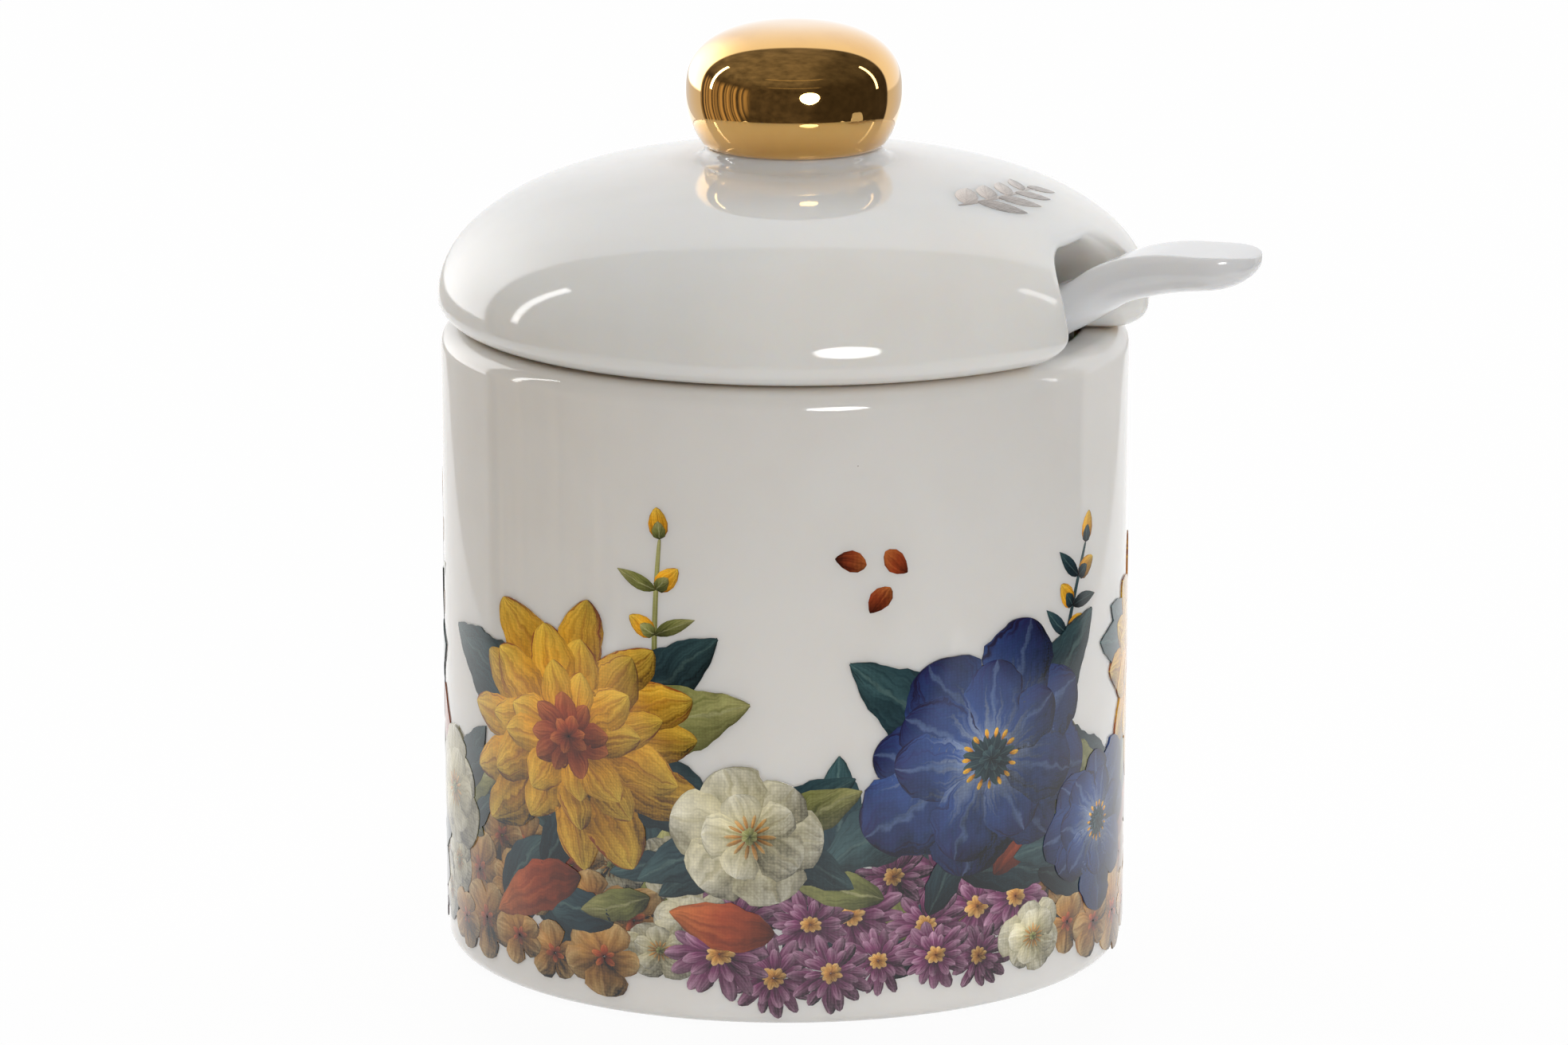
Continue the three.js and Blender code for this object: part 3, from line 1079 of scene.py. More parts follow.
@dataclass
class Spoon:
    """The one-piece spoon, drawn ring by ring from the tip of its bowl to the tip of its handle."""

    bowl: Point = (-14.0, 19.08)
    bowl_tilt: float = 42.0
    bowl_half_length: float = 18.0
    bowl_half_width: float = 13.0
    bowl_depth: float = 9.0
    bowl_wall: float = 2.4
    bowl_straight: float = 8.0
    hollow_to: float = 0.74
    lip_share: float = 0.08
    heel_inset: float = 2.5
    heel_drop: float = 2.7
    shank: float = 3.6
    neck: Point = (39.09, 94.85)
    neck_slope: float = 48.0
    neck_straight: float = 2.5
    neck_width: float = 5.2
    neck_belly: float = 4.6
    handle_width: float = 6.6
    handle_belly: float = 5.4
    tip_belly: float = 4.4
    neck_crest: float = 1.8
    crest: float = 3.1
    crest_run: float = 0.45
    facet: float = 1.2
    facet_from: float = 0.05
    facet_run: float = 0.26
    facet_tip: float = 0.9
    tip_from: float = 0.55
    tip_run: float = 0.4
    uncut: float = 1.4
    reach: float = 34.8
    rise: float = 12.6
    arch: tuple[Point, ...] = ((0.2, 0.43), (0.38, 0.765), (0.58, 0.92), (0.8, 0.97))
    rings: int = 130
    ring_ends: Point = (0.012, 0.988)
    sides: int = 64
    facet_edge: float = 11.0
    fullness: float = 0.62

    def line(self) -> list[Vector]:
        """Lays the middle line in the upright plane.

        Returns:
            Close points from the tip of the bowl to the tip of the handle.
        """
        tilt = math.radians(self.bowl_tilt)
        along = Vector((math.cos(tilt), math.sin(tilt)))
        bowl = Vector(self.bowl)
        neck = Vector(self.neck)
        slope = math.radians(self.neck_slope)
        over = Vector((math.cos(slope), math.sin(slope))) * self.neck_straight
        drop = Vector((math.sin(tilt), -math.cos(tilt))) * self.heel_drop
        heel = bowl + along * (self.bowl_half_length - self.heel_inset) + drop
        middle = heel.lerp(neck, 0.5)
        knots = [bowl - along * self.bowl_half_length, bowl, bowl + along * self.bowl_straight]
        knots += [heel.lerp(middle, 0.2), middle, neck - over, neck, neck + over]
        for share, lift in self.arch:
            knots.append(neck + Vector((self.reach * share, self.rise * lift)))
        knots.append(neck + Vector((self.reach, self.rise)))
        return self.eased(knots)

    @staticmethod
    def eased(knots: list[Vector], steps: int = 24) -> list[Vector]:
        """Draws a smooth line through points, with tangents weighted by the spans beside them.

        Args:
            knots: The points.
            steps: Chords between two of them.

        Returns:
            Points along the line.
        """
        tangents = []
        for i, knot in enumerate(knots):
            before = knots[max(i - 1, 0)]
            after = knots[min(i + 1, len(knots) - 1)]
            first = max((knot - before).length, WELD)
            second = max((after - knot).length, WELD)
            if i in (0, len(knots) - 1):
                tangents.append((after - before).normalized())
            else:
                pull = (knot - before) * (second / first) + (after - knot) * (first / second)
                tangents.append(pull.normalized())
        points = [knots[0]]
        for i in range(len(knots) - 1):
            span = (knots[i + 1] - knots[i]).length
            for step in range(1, steps + 1):
                t = step / steps
                a = knots[i] * (2 * t**3 - 3 * t**2 + 1) + knots[i + 1] * (3 * t**2 - 2 * t**3)
                b = tangents[i] * (t**3 - 2 * t**2 + t) + tangents[i + 1] * (t**3 - t**2)
                points.append(a + b * span)
        return points

    def handle_side(self, share: float, half: float, belly: float, tops: Point) -> Point:
        """Finds a point on the handle's section, round below and cut flat above.

        Args:
            share: Share of the way round from the right side.
            half: Half width of the section.
            belly: Depth below its widest line.
            tops: Heights of the round top and of the flat cut across it.

        Returns:
            Place across and height.
        """
        turn = 2.0 * math.pi * share
        across = half * math.cos(turn)
        if turn >= math.pi:
            return across, -belly * abs(math.sin(turn)) ** self.fullness
        crest = max(tops[0] * math.sin(turn), 1e-6)
        return across, (crest**-self.facet_edge + tops[1] ** -self.facet_edge) ** (-1.0 / self.facet_edge)

    def bowl_side(self, share: float, half: float, depth: float) -> Point:
        """Finds a point on the bowl's section.

        Args:
            share: Share of the way round from the right side.
            half: Half width of the section.
            depth: Its depth.

        Returns:
            Place across and height.
        """
        lip = min(self.bowl_wall, 0.9 * half, 0.6 * depth)
        under = depth - 0.5 * lip
        if share >= 0.5:
            turn = 2.0 * math.pi * share
            return half * math.cos(turn), -0.5 * lip + under * math.sin(turn)
        rim = self.lip_share
        mirrored = min(share, 0.5 - share)
        sign = 1.0 if share <= 0.25 else -1.0
        if mirrored < rim:
            turn = math.pi * mirrored / rim
            across = half - 0.5 * lip + 0.5 * lip * math.cos(turn)
            return sign * across, 0.5 * lip * (math.sin(turn) - 1.0)
        turn = 0.5 * math.pi * (mirrored - rim) / (0.25 - rim)
        return sign * (half - lip) * math.cos(turn), -0.5 * lip - (under - lip) * math.sin(turn)

    def build(self, glaze: Glaze) -> bpy.types.Object:
        """Draws the rings, closes the ends and dresses the spoon.

        Args:
            glaze: Its glaze.

        Returns:
            The piece.
        """
        line = self.line()
        runs = [0.0]
        for before, after in zip(line, line[1:]):
            runs.append(runs[-1] + (after - before).length)
        total = runs[-1]
        bowl_length = 2.0 * self.bowl_half_length
        neck_run = runs[min(range(len(line)), key=lambda i: (line[i] - Vector(self.neck)).length)]
        bm = bmesh.new()
        made = bmesh.ops.create_circle(bm, cap_ends=True, segments=self.sides, radius=1.0)
        ring = sorted(made["verts"], key=lambda v: math.atan2(v.co.y, v.co.x) % (2.0 * math.pi))
        for number in range(self.rings):
            share = mixed(*self.ring_ends, number / (self.rings - 1))
            run = total * (0.5 - 0.5 * math.cos(math.pi * share))
            if number > 0:
                edges = [bm.edges.get((a, b)) for a, b in zip(ring, ring[1:] + ring[:1])]
                grown = bmesh.ops.extrude_edge_only(bm, edges=edges)["geom"]
                fresh = {v for v in grown if isinstance(v, bmesh.types.BMVert)}
                beside = [[edge.other_vert(vert) for edge in vert.link_edges] for vert in ring]
                ring = [next(other for other in others if other in fresh) for others in beside]
            self.shape(ring, line, runs, run, (bowl_length, neck_run, total))
        bmesh.ops.contextual_create(bm, geom=ring)
        piece = finished(bm, "sugar_spoon_skin", glaze.material())
        smoother = piece.modifiers.new("rounding", "SUBSURF")
        smoother.levels = 1
        smoother.render_levels = 1
        settle(piece, "sugar_spoon")
        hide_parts("spoon")
        return piece

    def shape(
        self,
        ring: list[bmesh.types.BMVert],
        line: list[Vector],
        runs: list[float],
        run: float,
        marks: tuple[float, float, float],
    ) -> None:
        """Moves one ring to its place.

        Args:
            ring: Its vertices in order.
            line: The middle line.
            runs: Distance of each point of the line from its start.
            run: Distance of this ring.
            marks: Distances of the bowl's end, the neck and the handle's tip.
        """
        bowl_end, neck_run, total = marks
        index = max(i for i, value in enumerate(runs) if value <= run)
        index = min(index, len(line) - 2)
        share = (run - runs[index]) / (runs[index + 1] - runs[index])
        middle = line[index].lerp(line[index + 1], share)
        ahead = (line[min(index + 2, len(line) - 1)] - line[max(index - 1, 0)]).normalized()
        up = Vector((-ahead.y, ahead.x))
        from_centre = (run - self.bowl_half_length) / self.bowl_half_length
        swell = math.sqrt(max(1.0 - from_centre * from_centre, 0.0))
        hollow = 1.0 - smooth((run / bowl_end - self.hollow_to) / (1.0 - self.hollow_to))
        full = mixed(neck_run, total, 0.5)
        to_neck = smooth((run - bowl_end) / (neck_run - bowl_end))
        to_full = smooth((run - neck_run) / (full - neck_run))
        half = self.shank + (self.neck_width - self.shank) * to_neck
        half += (self.handle_width - self.neck_width) * to_full
        belly = self.shank + (self.neck_belly - self.shank) * to_neck
        belly += (self.handle_belly - self.neck_belly) * to_full
        belly += (self.tip_belly - self.handle_belly) * smooth((run - full) / (total - full))
        end = math.sqrt(1.0 - (1.0 - min((total - run) / self.handle_width, 1.0)) ** 2)
        share = (run - neck_run) / (total - neck_run)
        crest = mixed(self.shank, self.neck_crest, to_neck)
        crest += (self.crest - self.neck_crest) * smooth(share / self.crest_run)
        sliced = smooth((share - self.facet_from) / self.facet_run)
        cut = mixed(self.uncut * self.crest, self.facet, sliced)
        cut += (self.facet_tip - self.facet) * smooth((share - self.tip_from) / self.tip_run)
        bowl_half = max(self.bowl_half_width * swell, 0.3)
        if run > self.bowl_half_length:
            bowl_half = (bowl_half**4 + self.shank**4) ** 0.25
        depth = max(self.bowl_depth * swell, 0.4)
        if run > self.bowl_half_length:
            depth = (depth**4 + self.shank**4) ** 0.25
        for number, vert in enumerate(ring):
            around = number / len(ring)
            plain = self.handle_side(around, half, belly, (crest, cut))
            bowl = self.bowl_side(around, bowl_half, depth)
            across = mixed(plain[0], bowl[0], hollow) * (end if run > neck_run else 1.0)
            height = mixed(plain[1], bowl[1], hollow) * (end if run > neck_run else 1.0)
            place = middle + up * height
            vert.co = (place.x, -across, place.y)


class Hue(Enum):
    """The families of printed colour."""

    GOLD = Ink(
        "golden_petals", (0.36, 0.06, 0.008), (0.86, 0.4, 0.02), (0.97, 0.66, 0.085),
        (0.27, 0.04, 0.01), (0.45, 0.11, 0.012),
        edge_share=0.95, vein_share=0.4, streaks=15.0, streak_share=0.7,
    )
    RUST = Ink(
        "rust_petals", (0.09, 0.014, 0.006), (0.33, 0.055, 0.016), (0.6, 0.18, 0.045),
        (0.1, 0.015, 0.008), (0.16, 0.03, 0.01),
        edge_share=0.6, vein_share=0.3, streaks=8.0, streak_share=0.6,
    )
    BLUE = Ink(
        "blue_petals", (0.42, 0.52, 0.7), (0.034, 0.082, 0.27), (0.02, 0.02, 0.1),
        (0.011, 0.007, 0.035), (0.2, 0.3, 0.52),
        edge_share=0.95, vein_share=0.4, streaks=14.0, streak_share=0.9, root_shade=0.95, flame=1.8,
    )
    MAUVE = Ink(
        "mauve_petals", (0.06, 0.01, 0.04), (0.22, 0.045, 0.14), (0.62, 0.36, 0.5),
        (0.1, 0.018, 0.07), (0.46, 0.22, 0.36),
        edge_share=0.6, vein_share=0.4, streaks=6.0, streak_share=0.7,
    )
    CREAM = Ink(
        "cream_petals", (0.42, 0.36, 0.1), (0.74, 0.68, 0.44), (0.86, 0.83, 0.68),
        (0.34, 0.31, 0.17), (0.56, 0.49, 0.24),
        edge_share=0.7, vein_share=0.35, streaks=8.0, streak_share=0.6,
    )
    OCHRE = Ink(
        "ochre_petals", (0.34, 0.09, 0.016), (0.6, 0.3, 0.07), (0.78, 0.55, 0.24),
        (0.34, 0.12, 0.03), (0.46, 0.17, 0.04),
        edge_share=0.7, vein_share=0.3, streaks=7.0, streak_share=0.7,
    )
    OLIVE = Ink(
        "olive_leaves", (0.06, 0.07, 0.018), (0.2, 0.21, 0.06), (0.42, 0.4, 0.16),
        (0.07, 0.07, 0.02), (0.46, 0.45, 0.22),
        edge_share=0.7, vein_share=0.6, streaks=13.0, streak_share=0.6, ribs=0.5,
    )
    TEAL = Ink(
        "teal_leaves", (0.005, 0.011, 0.018), (0.014, 0.038, 0.05), (0.05, 0.105, 0.11),
        (0.006, 0.01, 0.014), (0.1, 0.17, 0.16),
        edge_share=0.7, vein_share=0.5, streaks=13.0, streak_share=0.6, ribs=0.5,
    )
    DUSK = Ink(
        "dusky_leaves", (0.52, 0.44, 0.39), (0.66, 0.59, 0.54), (0.76, 0.71, 0.67),
        (0.54, 0.46, 0.42), (0.46, 0.38, 0.34),
        edge_share=0.5, vein_share=0.5, streaks=12.0, streak_share=0.5, ribs=0.5, root_shade=0.85,
    )


@dataclass(frozen=True)
class Petal:
    """The flat outline of a petal or leaf, drawn upwards from its root.

    Under 1, belly brings the widest line nearer the root. Point is about 0.4 for a blunt end and
    1 for a sharp one. Bend and ruffle are shares of the length and of the width.
    """

    length: float
    width: float
    belly: float = 1.25
    point: float = 0.55
    bend: float = 0.0
    ruffle: float = 0.0
    waves: float = 3.0

    def at(self, across: float, along: float, phase: float) -> Point:
        """Finds a place on the petal.

        Args:
            across: From -1 to 1.
            along: From 0 to 1.
            phase: Start of the ruffle's waves.

        Returns:
            Its place to the side of the root and above it.
        """
        run = 0.5 - 0.5 * math.cos(math.pi * along)
        half = 0.5 * self.width * max(math.sin(math.pi * run**self.belly), 0.0) ** self.point
        half = max(half, 0.02 * self.width)
        wave = 2.0 * math.pi * self.waves * run + phase
        half *= 1.0 + self.ruffle * (math.sin(wave + 2.0 * across) + 0.5 * math.sin(2.7 * wave - across))
        return across * half + self.bend * self.length * run * run, self.length * run


def pointed_leaf(length: float, width: float, bend: float, ruffle: float = 0.06) -> Petal:
    """Returns the outline of a pointed leaf, widest below its middle."""
    return Petal(length, width, 0.85, 0.75, bend, ruffle, 4.0)


@dataclass(frozen=True)
class Ring:
    """A ring of like petals in a bloom."""

    hue: Hue
    count: int
    root: float
    petal: Petal
    jitter: float = 0.12


@dataclass
class Transfer:
    """A printed transfer: petals laid flat in layers, then wrapped on the glaze.

    A place on the flat transfer is a distance to the right of its middle and a height. Layers lie
    a few thousandths of a millimetre apart, and the transfer's underside is sunk in the glaze.
    """

    name: str
    wrap: Wrap
    body: str
    slot: str
    seed: int
    proud: float = 0.012
    layer: float = 0.0028
    sunk: float = 0.12
    cell: float = 0.75
    light: float = math.radians(-40.0)
    bright: float = 0.84
    bright_turn: float = 0.24
    bright_spread: float = 0.16
    ring_step: float = 2.5
    ring_light: Point = (0.7, 1.12)
    tilts: Point = (0.78, 0.96)
    sizes: Point = (0.84, 1.1)
    widths: Point = (0.88, 1.12)
    bends: Point = (-2.0, 2.0)
    crease: float = 0.6
    sheets: dict = field(default_factory=dict)

    def __post_init__(self) -> None:
        """Seeds the small differences between petals."""
        self.random = random.Random(self.seed)

    def mesh(self, hue: Hue) -> bmesh.types.BMesh:
        """Finds the mesh of a colour family, or starts it.

        Args:
            hue: The colour family.

        Returns:
            Its mesh.
        """
        if hue not in self.sheets:
            bm = bmesh.new()
            bm.loops.layers.uv.new("petal")
            bm.verts.layers.float_color.new("tint")
            self.sheets[hue] = bm
        return self.sheets[hue]

    def lay(
        self,
        hue: Hue,
        petal: Petal,
        root: Point,
        heading: float,
        level: float,
        tilt: float = 1.0,
        shade: float = 1.0,
        lean: float = 0.0,
    ) -> None:
        """Lays one petal or leaf.

        Args:
            hue: Its colour family.
            petal: Its outline.
            root: Where its root is.
            heading: Its direction in radians, 0 up and positive to the right.
            level: Its layer.
            tilt: Foreshortening of its height, 1 for none.
            shade: Share of its full brightness.
            lean: Layers that its right edge lies over its middle, and its left edge under it.
        """
        bm = self.mesh(hue)
        uv = bm.loops.layers.uv["petal"]
        tint = bm.verts.layers.float_color["tint"]
        columns = max(2, round(petal.width / self.cell))
        rows = max(4, round(petal.length / self.cell))
        verts = bmesh.ops.create_grid(bm, x_segments=columns, y_segments=rows, size=1.0)["verts"]
        for face in {face for vert in verts for face in vert.link_faces}:
            for loop in face.loops:
                loop[uv].uv = (0.5 + 0.5 * loop.vert.co.x, 0.5 + 0.5 * loop.vert.co.y)
        bright = self.bright + self.bright_turn * math.cos(heading - self.light)
        bright += self.random.uniform(-self.bright_spread, self.bright_spread)
        bright *= shade
        side = 0.5 + 0.5 * math.sin(self.light - heading)
        colour = (bright, self.random.random(), side, 1.0)
        phase = self.random.uniform(0.0, 6.0)
        for vert in verts:
            lift = level + lean * vert.co.x
            x, y = petal.at(vert.co.x, 0.5 + 0.5 * vert.co.y, phase)
            right = x * math.cos(heading) + y * math.sin(heading)
            up = (y * math.cos(heading) - x * math.sin(heading)) * tilt
            vert[tint] = colour
            vert.co = (root[0] + right, root[1] + up, self.proud + self.layer * lift)

    def bloom(self, centre: Point, rings: list[Ring], size: float, level: float, shade: float = 1.0) -> None:
        """Lays a flower, outer ring first, each petal leaning over the next one.

        Args:
            centre: Its middle.
            rings: Its rings of petals.
            size: Scale of all its sizes.
            level: Its lowest layer.
            shade: Share of its full brightness.
        """
        start = self.random.uniform(0.0, 6.0)
        tilt = self.random.uniform(*self.tilts)
        for number, ring in enumerate(rings):
            lit = shade * mixed(*self.ring_light, number / max(len(rings) - 1, 1))
            shape = ring.petal
            for i in range(ring.count):
                wobble = self.random.uniform(-ring.jitter, ring.jitter)
                heading = start + 2.0 * math.pi * (i + wobble) / ring.count
                grow = size * self.random.uniform(*self.sizes)
                petal = replace(
                    shape,
                    length=shape.length * grow,
                    width=shape.width * grow * self.random.uniform(*self.widths),
                    bend=shape.bend * self.random.uniform(*self.bends),
                )
                root = (
                    centre[0] + ring.root * size * math.sin(heading),
                    centre[1] + ring.root * size * math.cos(heading) * tilt,
                )
                self.lay(ring.hue, petal, root, heading, level + 1.0, tilt, lit, 1.0)
            level += self.ring_step
            start += math.pi / max(ring.count, 1)

    def finish(self) -> list[bpy.types.Object]:
        """Gives the sheets their thickness, wraps them and dresses them.

        Returns:
            One piece for each colour family.
        """
        pieces = []
        for hue, bm in self.sheets.items():
            grown = bmesh.ops.extrude_face_region(bm, geom=bm.faces[:], use_keep_orig=True)["geom"]
            under = [item for item in grown if isinstance(item, bmesh.types.BMVert)]
            for vert in under:
                vert.co.z = -self.sunk
            for vert in bm.verts:
                vert.co = self.wrap(vert.co.x, vert.co.y, vert.co.z)
            bmesh.ops.recalc_face_normals(bm, faces=bm.faces[:])
            for edge in bm.edges:
                edge.smooth = edge.calc_face_angle(0.0) < self.crease
            piece = linked(bm, self.name + "_" + hue.value.name, hue.value.material())
            settle(piece, self.body)
            pieces.append(piece)
        return pieces


def full_bloom(petals: Hue, core: Hue) -> list[Ring]:
    """Returns the rings of a large double flower with pointed petals, about 20 mm in radius."""
    return [
        Ring(petals, 12, 5.0, Petal(15.5, 7.8, 1.25, 0.62, 0.09, 0.05, 2.0), 0.2),
        Ring(petals, 11, 3.2, Petal(12.4, 7.0, 1.25, 0.62, 0.09, 0.05, 2.0), 0.2),
        Ring(petals, 9, 1.6, Petal(9.2, 5.8, 1.2, 0.62, 0.09, 0.05, 2.0), 0.2),
        Ring(core, 9, 0.8, Petal(5.6, 3.6, 1.2, 0.6, 0.08, 0.05)),
        Ring(core, 6, 0.1, Petal(3.0, 2.2, 1.1, 0.6, 0.08, 0.05)),
    ]


def windflower() -> list[Ring]:
    """Returns the rings of a large single blue flower with ruffled petals, about 19 mm in radius."""
    return [
        Ring(Hue.BLUE, 8, 1.5, Petal(17.5, 12.6, 1.5, 0.5, 0.07, 0.06, 3.2), 0.2),
        Ring(Hue.BLUE, 7, 1.2, Petal(13.2, 10.4, 1.5, 0.5, 0.07, 0.06, 3.0), 0.2),
        Ring(Hue.TEAL, 12, 0.4, Petal(3.6, 1.6, 1.2, 0.6)),
        Ring(Hue.GOLD, 15, 3.0, Petal(1.6, 0.7, 1.4, 0.5)),
        Ring(Hue.TEAL, 7, 0.0, Petal(2.0, 1.5, 1.2, 0.5)),
    ]


def aster() -> list[Ring]:
    """Returns the rings of a small many-petalled flower, about 7 mm in radius."""
    return [
        Ring(Hue.MAUVE, 14, 1.3, Petal(5.6, 2.1, 1.4, 0.5, 0.08, 0.06), 0.25),
        Ring(Hue.MAUVE, 11, 0.8, Petal(4.0, 1.8, 1.4, 0.5, 0.08, 0.06), 0.25),
        Ring(Hue.OCHRE, 9, 0.1, Petal(1.8, 1.1, 1.2, 0.5)),
    ]


def wild_rose() -> list[Ring]:
    """Returns the rings of a five-petalled flower with a crown of stamens, about 9 mm in radius."""
    return [
        Ring(Hue.CREAM, 6, 0.6, Petal(8.6, 8.4, 1.6, 0.45, 0.06, 0.06), 0.12),
        Ring(Hue.CREAM, 5, 0.5, Petal(6.0, 6.2, 1.6, 0.45, 0.06, 0.06), 0.12),
        Ring(Hue.OCHRE, 14, 0.8, Petal(2.2, 0.5, 1.4, 0.4)),
        Ring(Hue.OLIVE, 6, 0.0, Petal(1.1, 0.9, 1.2, 0.5)),
    ]


def blossom() -> list[Ring]:
    """Returns the rings of a small five-petalled flower, about 5 mm in radius."""
    return [
        Ring(Hue.OCHRE, 5, 0.4, Petal(4.6, 4.6, 1.5, 0.45, 0.06, 0.06), 0.15),
        Ring(Hue.RUST, 5, 0.1, Petal(1.5, 0.9, 1.2, 0.5)),
    ]


@dataclass
class FlowerBand:
    """The flower band round the pot and the leaf sprig on the lid.

    Layers rise from the leaves and twigs at the back, over the small flowers and the sprays of
    leaves, to the large flowers.
    """

    jar: JarBody
    lid: Lid
    foot: float = 3.0
    back_count: int = 84
    small_count: int = 114
    small_rows: int = 3
    row_foot: float = 5.5
    row_height: float = 6.5
    small_layer: float = 7.0
    small_step: float = 7.5
    drift_length: float = 17.0
    drift_start: float = 0.9
    spray_count: int = 48
    spray_layer: float = 55.5
    spray_step: float = 1.3
    ruff_count: int = 6
    ruff_layer: float = 61.0
    ruff_step: float = 1.5
    large_layer: float = 70.0
    large_step: float = 13.5
    twig_layer: float = 5.0
    sprig_leaves: int = 8
    sprig_heading: float = 1.62
    sprig_spread: float = 0.7
    band_seed: int = 11
    sprig_seed: int = 5

    def around(self, share: float) -> float:
        """Returns the place at a share of the way round the pot, from its back."""
        return 2.0 * math.pi * self.jar.radius * (share - 0.5)

    def leaves(self, band: Transfer) -> None:
        """Lays the leaves behind the flowers, all round the pot.

        Args:
            band: The transfer.
        """
        draw = band.random
        for i in range(self.back_count):
            dark = i % 2 == 0
            heading = draw.uniform(-1.1, 1.1)
            length = draw.uniform(17.0, 25.0) if dark else draw.uniform(12.0, 19.0)
            width = draw.uniform(0.34, 0.46) * length
            leaf = pointed_leaf(length, width, draw.uniform(-0.14, 0.14), 0.05)
            height = self.foot + draw.uniform(2.0, 9.0) + (0.0 if dark else 6.0)
            level = (0 if dark else 3) + (i // 2) % 3
            root = (self.around(i / self.back_count), height)
            hue = Hue.TEAL if dark else Hue.OLIVE
            band.lay(hue, leaf, root, heading, level, shade=draw.uniform(0.7, 1.1))

    def fillers(self, band: Transfer) -> None:
        """Lays drifts of small flowers along the foot of the band, in rows.

        Args:
            band: The transfer.
        """
        draw = band.random
        for i in range(self.small_count):
            row = i % self.small_rows
            around = self.around(i / self.small_count) + draw.uniform(-1.6, 1.6)
            height = self.foot + self.row_foot + self.row_height * (self.small_rows - 1 - row)
            height += draw.uniform(-1.2, 2.2)
            drift = math.sin(around / self.drift_length + self.drift_start) + draw.uniform(-0.3, 0.3)
            level = self.small_layer + self.small_step * (2 * row + (i // self.small_rows) % 2)
            shade = draw.uniform(0.5, 0.75) if row == 0 else draw.uniform(0.66, 1.1)
            if drift > 0.2:
                band.bloom((around, height), aster(), draw.uniform(0.8, 1.15), level, shade)
            elif drift < -0.4:
                band.bloom((around, height), blossom(), draw.uniform(1.0, 1.4), level, shade)
            else:
                band.bloom((around, height), wild_rose(), draw.uniform(0.55, 0.8), level, shade)

    def sprays(self, band: Transfer) -> None:
        """Lays leaves over the small flowers, fanned out round the large ones.

        Args:
            band: The transfer.
        """
        draw = band.random
        hues = (Hue.TEAL, Hue.OLIVE, Hue.TEAL, Hue.TEAL, Hue.RUST)
        for i in range(self.spray_count):
            around = self.around(i / self.spray_count) + draw.uniform(-2.0, 2.0)
            length = draw.uniform(11.0, 20.0)
            width = draw.uniform(0.34, 0.48) * length
            leaf = pointed_leaf(length, width, draw.uniform(-0.2, 0.2))
            root = (around, self.foot + draw.uniform(8.0, 21.0))
            heading = draw.uniform(-2.0, 2.0)
            level = self.spray_layer + self.spray_step * (i % 4)
            band.lay(hues[i % len(hues)], leaf, root, heading, level, shade=draw.uniform(0.7, 1.15))

    def heroes(self, band: Transfer) -> None:
        """Lays the large flowers, each at its own place on its ruff of leaves.

        Args:
            band: The transfer.
        """
        golden = full_bloom(Hue.GOLD, Hue.RUST)
        large = [
            (golden, (-33.0, 40.0), 1.12, 0),
            (windflower(), (31.0, 37.0), 1.12, 1),
            (wild_rose(), (-5.0, 28.0), 1.2, 2),
            (windflower(), (56.0, 23.0), 0.75, 2),
            (golden, (80.0, 43.0), 0.95, 0),
            (wild_rose(), (106.0, 29.0), 1.2, 2),
            (windflower(), (130.0, 38.0), 1.1, 1),
            (golden, (-143.0, 37.0), 1.0, 0),
            (wild_rose(), (-116.0, 27.0), 1.15, 2),
            (windflower(), (-97.0, 39.0), 1.0, 1),
            (wild_rose(), (-64.0, 26.0), 1.1, 2),
        ]
        draw = band.random
        for rings, centre, size, tier in large:
            reach = 20.0 if rings[0].hue in (Hue.GOLD, Hue.BLUE) else 11.0
            for i in range(self.ruff_count):
                length = reach * size * draw.uniform(1.1, 1.4)
                leaf = pointed_leaf(length, 0.4 * length, draw.uniform(-0.15, 0.15))
                heading = (1.0 if i % 2 else -1.0) * draw.uniform(0.9, 2.3)
                hue = Hue.OLIVE if i == 3 else Hue.TEAL
                band.lay(hue, leaf, centre, heading, self.ruff_layer + self.ruff_step * i)
            band.bloom(centre, rings, size, self.large_layer + self.large_step * tier)

    def sprigs(self, band: Transfer) -> None:
        """Lays the twigs that rise above the flowers, with their buds.

        Args:
            band: The transfer.
        """
        twigs = [
            ((-18.0, 34.0), -0.1, 36.0, Hue.OLIVE),
            ((44.0, 42.0), 0.22, 24.0, Hue.TEAL),
            ((-74.0, 36.0), -0.2, 30.0, Hue.OLIVE),
            ((100.0, 42.0), 0.15, 34.0, Hue.OLIVE),
            ((150.0, 40.0), -0.1, 30.0, Hue.TEAL),
        ]
        for root, heading, length, hue in twigs:
            band.lay(hue, Petal(length, 0.8, 1.0, 0.15, 0.1), root, heading, self.twig_layer)
            leaf = Petal(6.5, 2.2, 0.8, 0.9, 0.1)
            bud = Petal(4.6, 3.0, 0.8, 0.6)
            calyx = Petal(2.6, 2.2, 0.7, 0.6)
            for i, share in enumerate((0.45, 0.62, 0.8, 1.0)):
                swing = 0.1 * length * share * share
                place = (
                    root[0] + length * share * math.sin(heading) + swing * math.cos(heading),
                    root[1] + length * share * math.cos(heading) - swing * math.sin(heading),
                )
                turn = heading + (0.0 if share == 1.0 else (-0.9 if i % 2 else 0.9))
                if share < 1.0:
                    band.lay(hue, leaf, place, heading - 1.3 * (turn - heading), self.twig_layer + 1.0)
                band.lay(Hue.GOLD, bud, place, turn, self.twig_layer + 2.0)
                band.lay(hue, calyx, place, turn, self.twig_layer + 3.0)

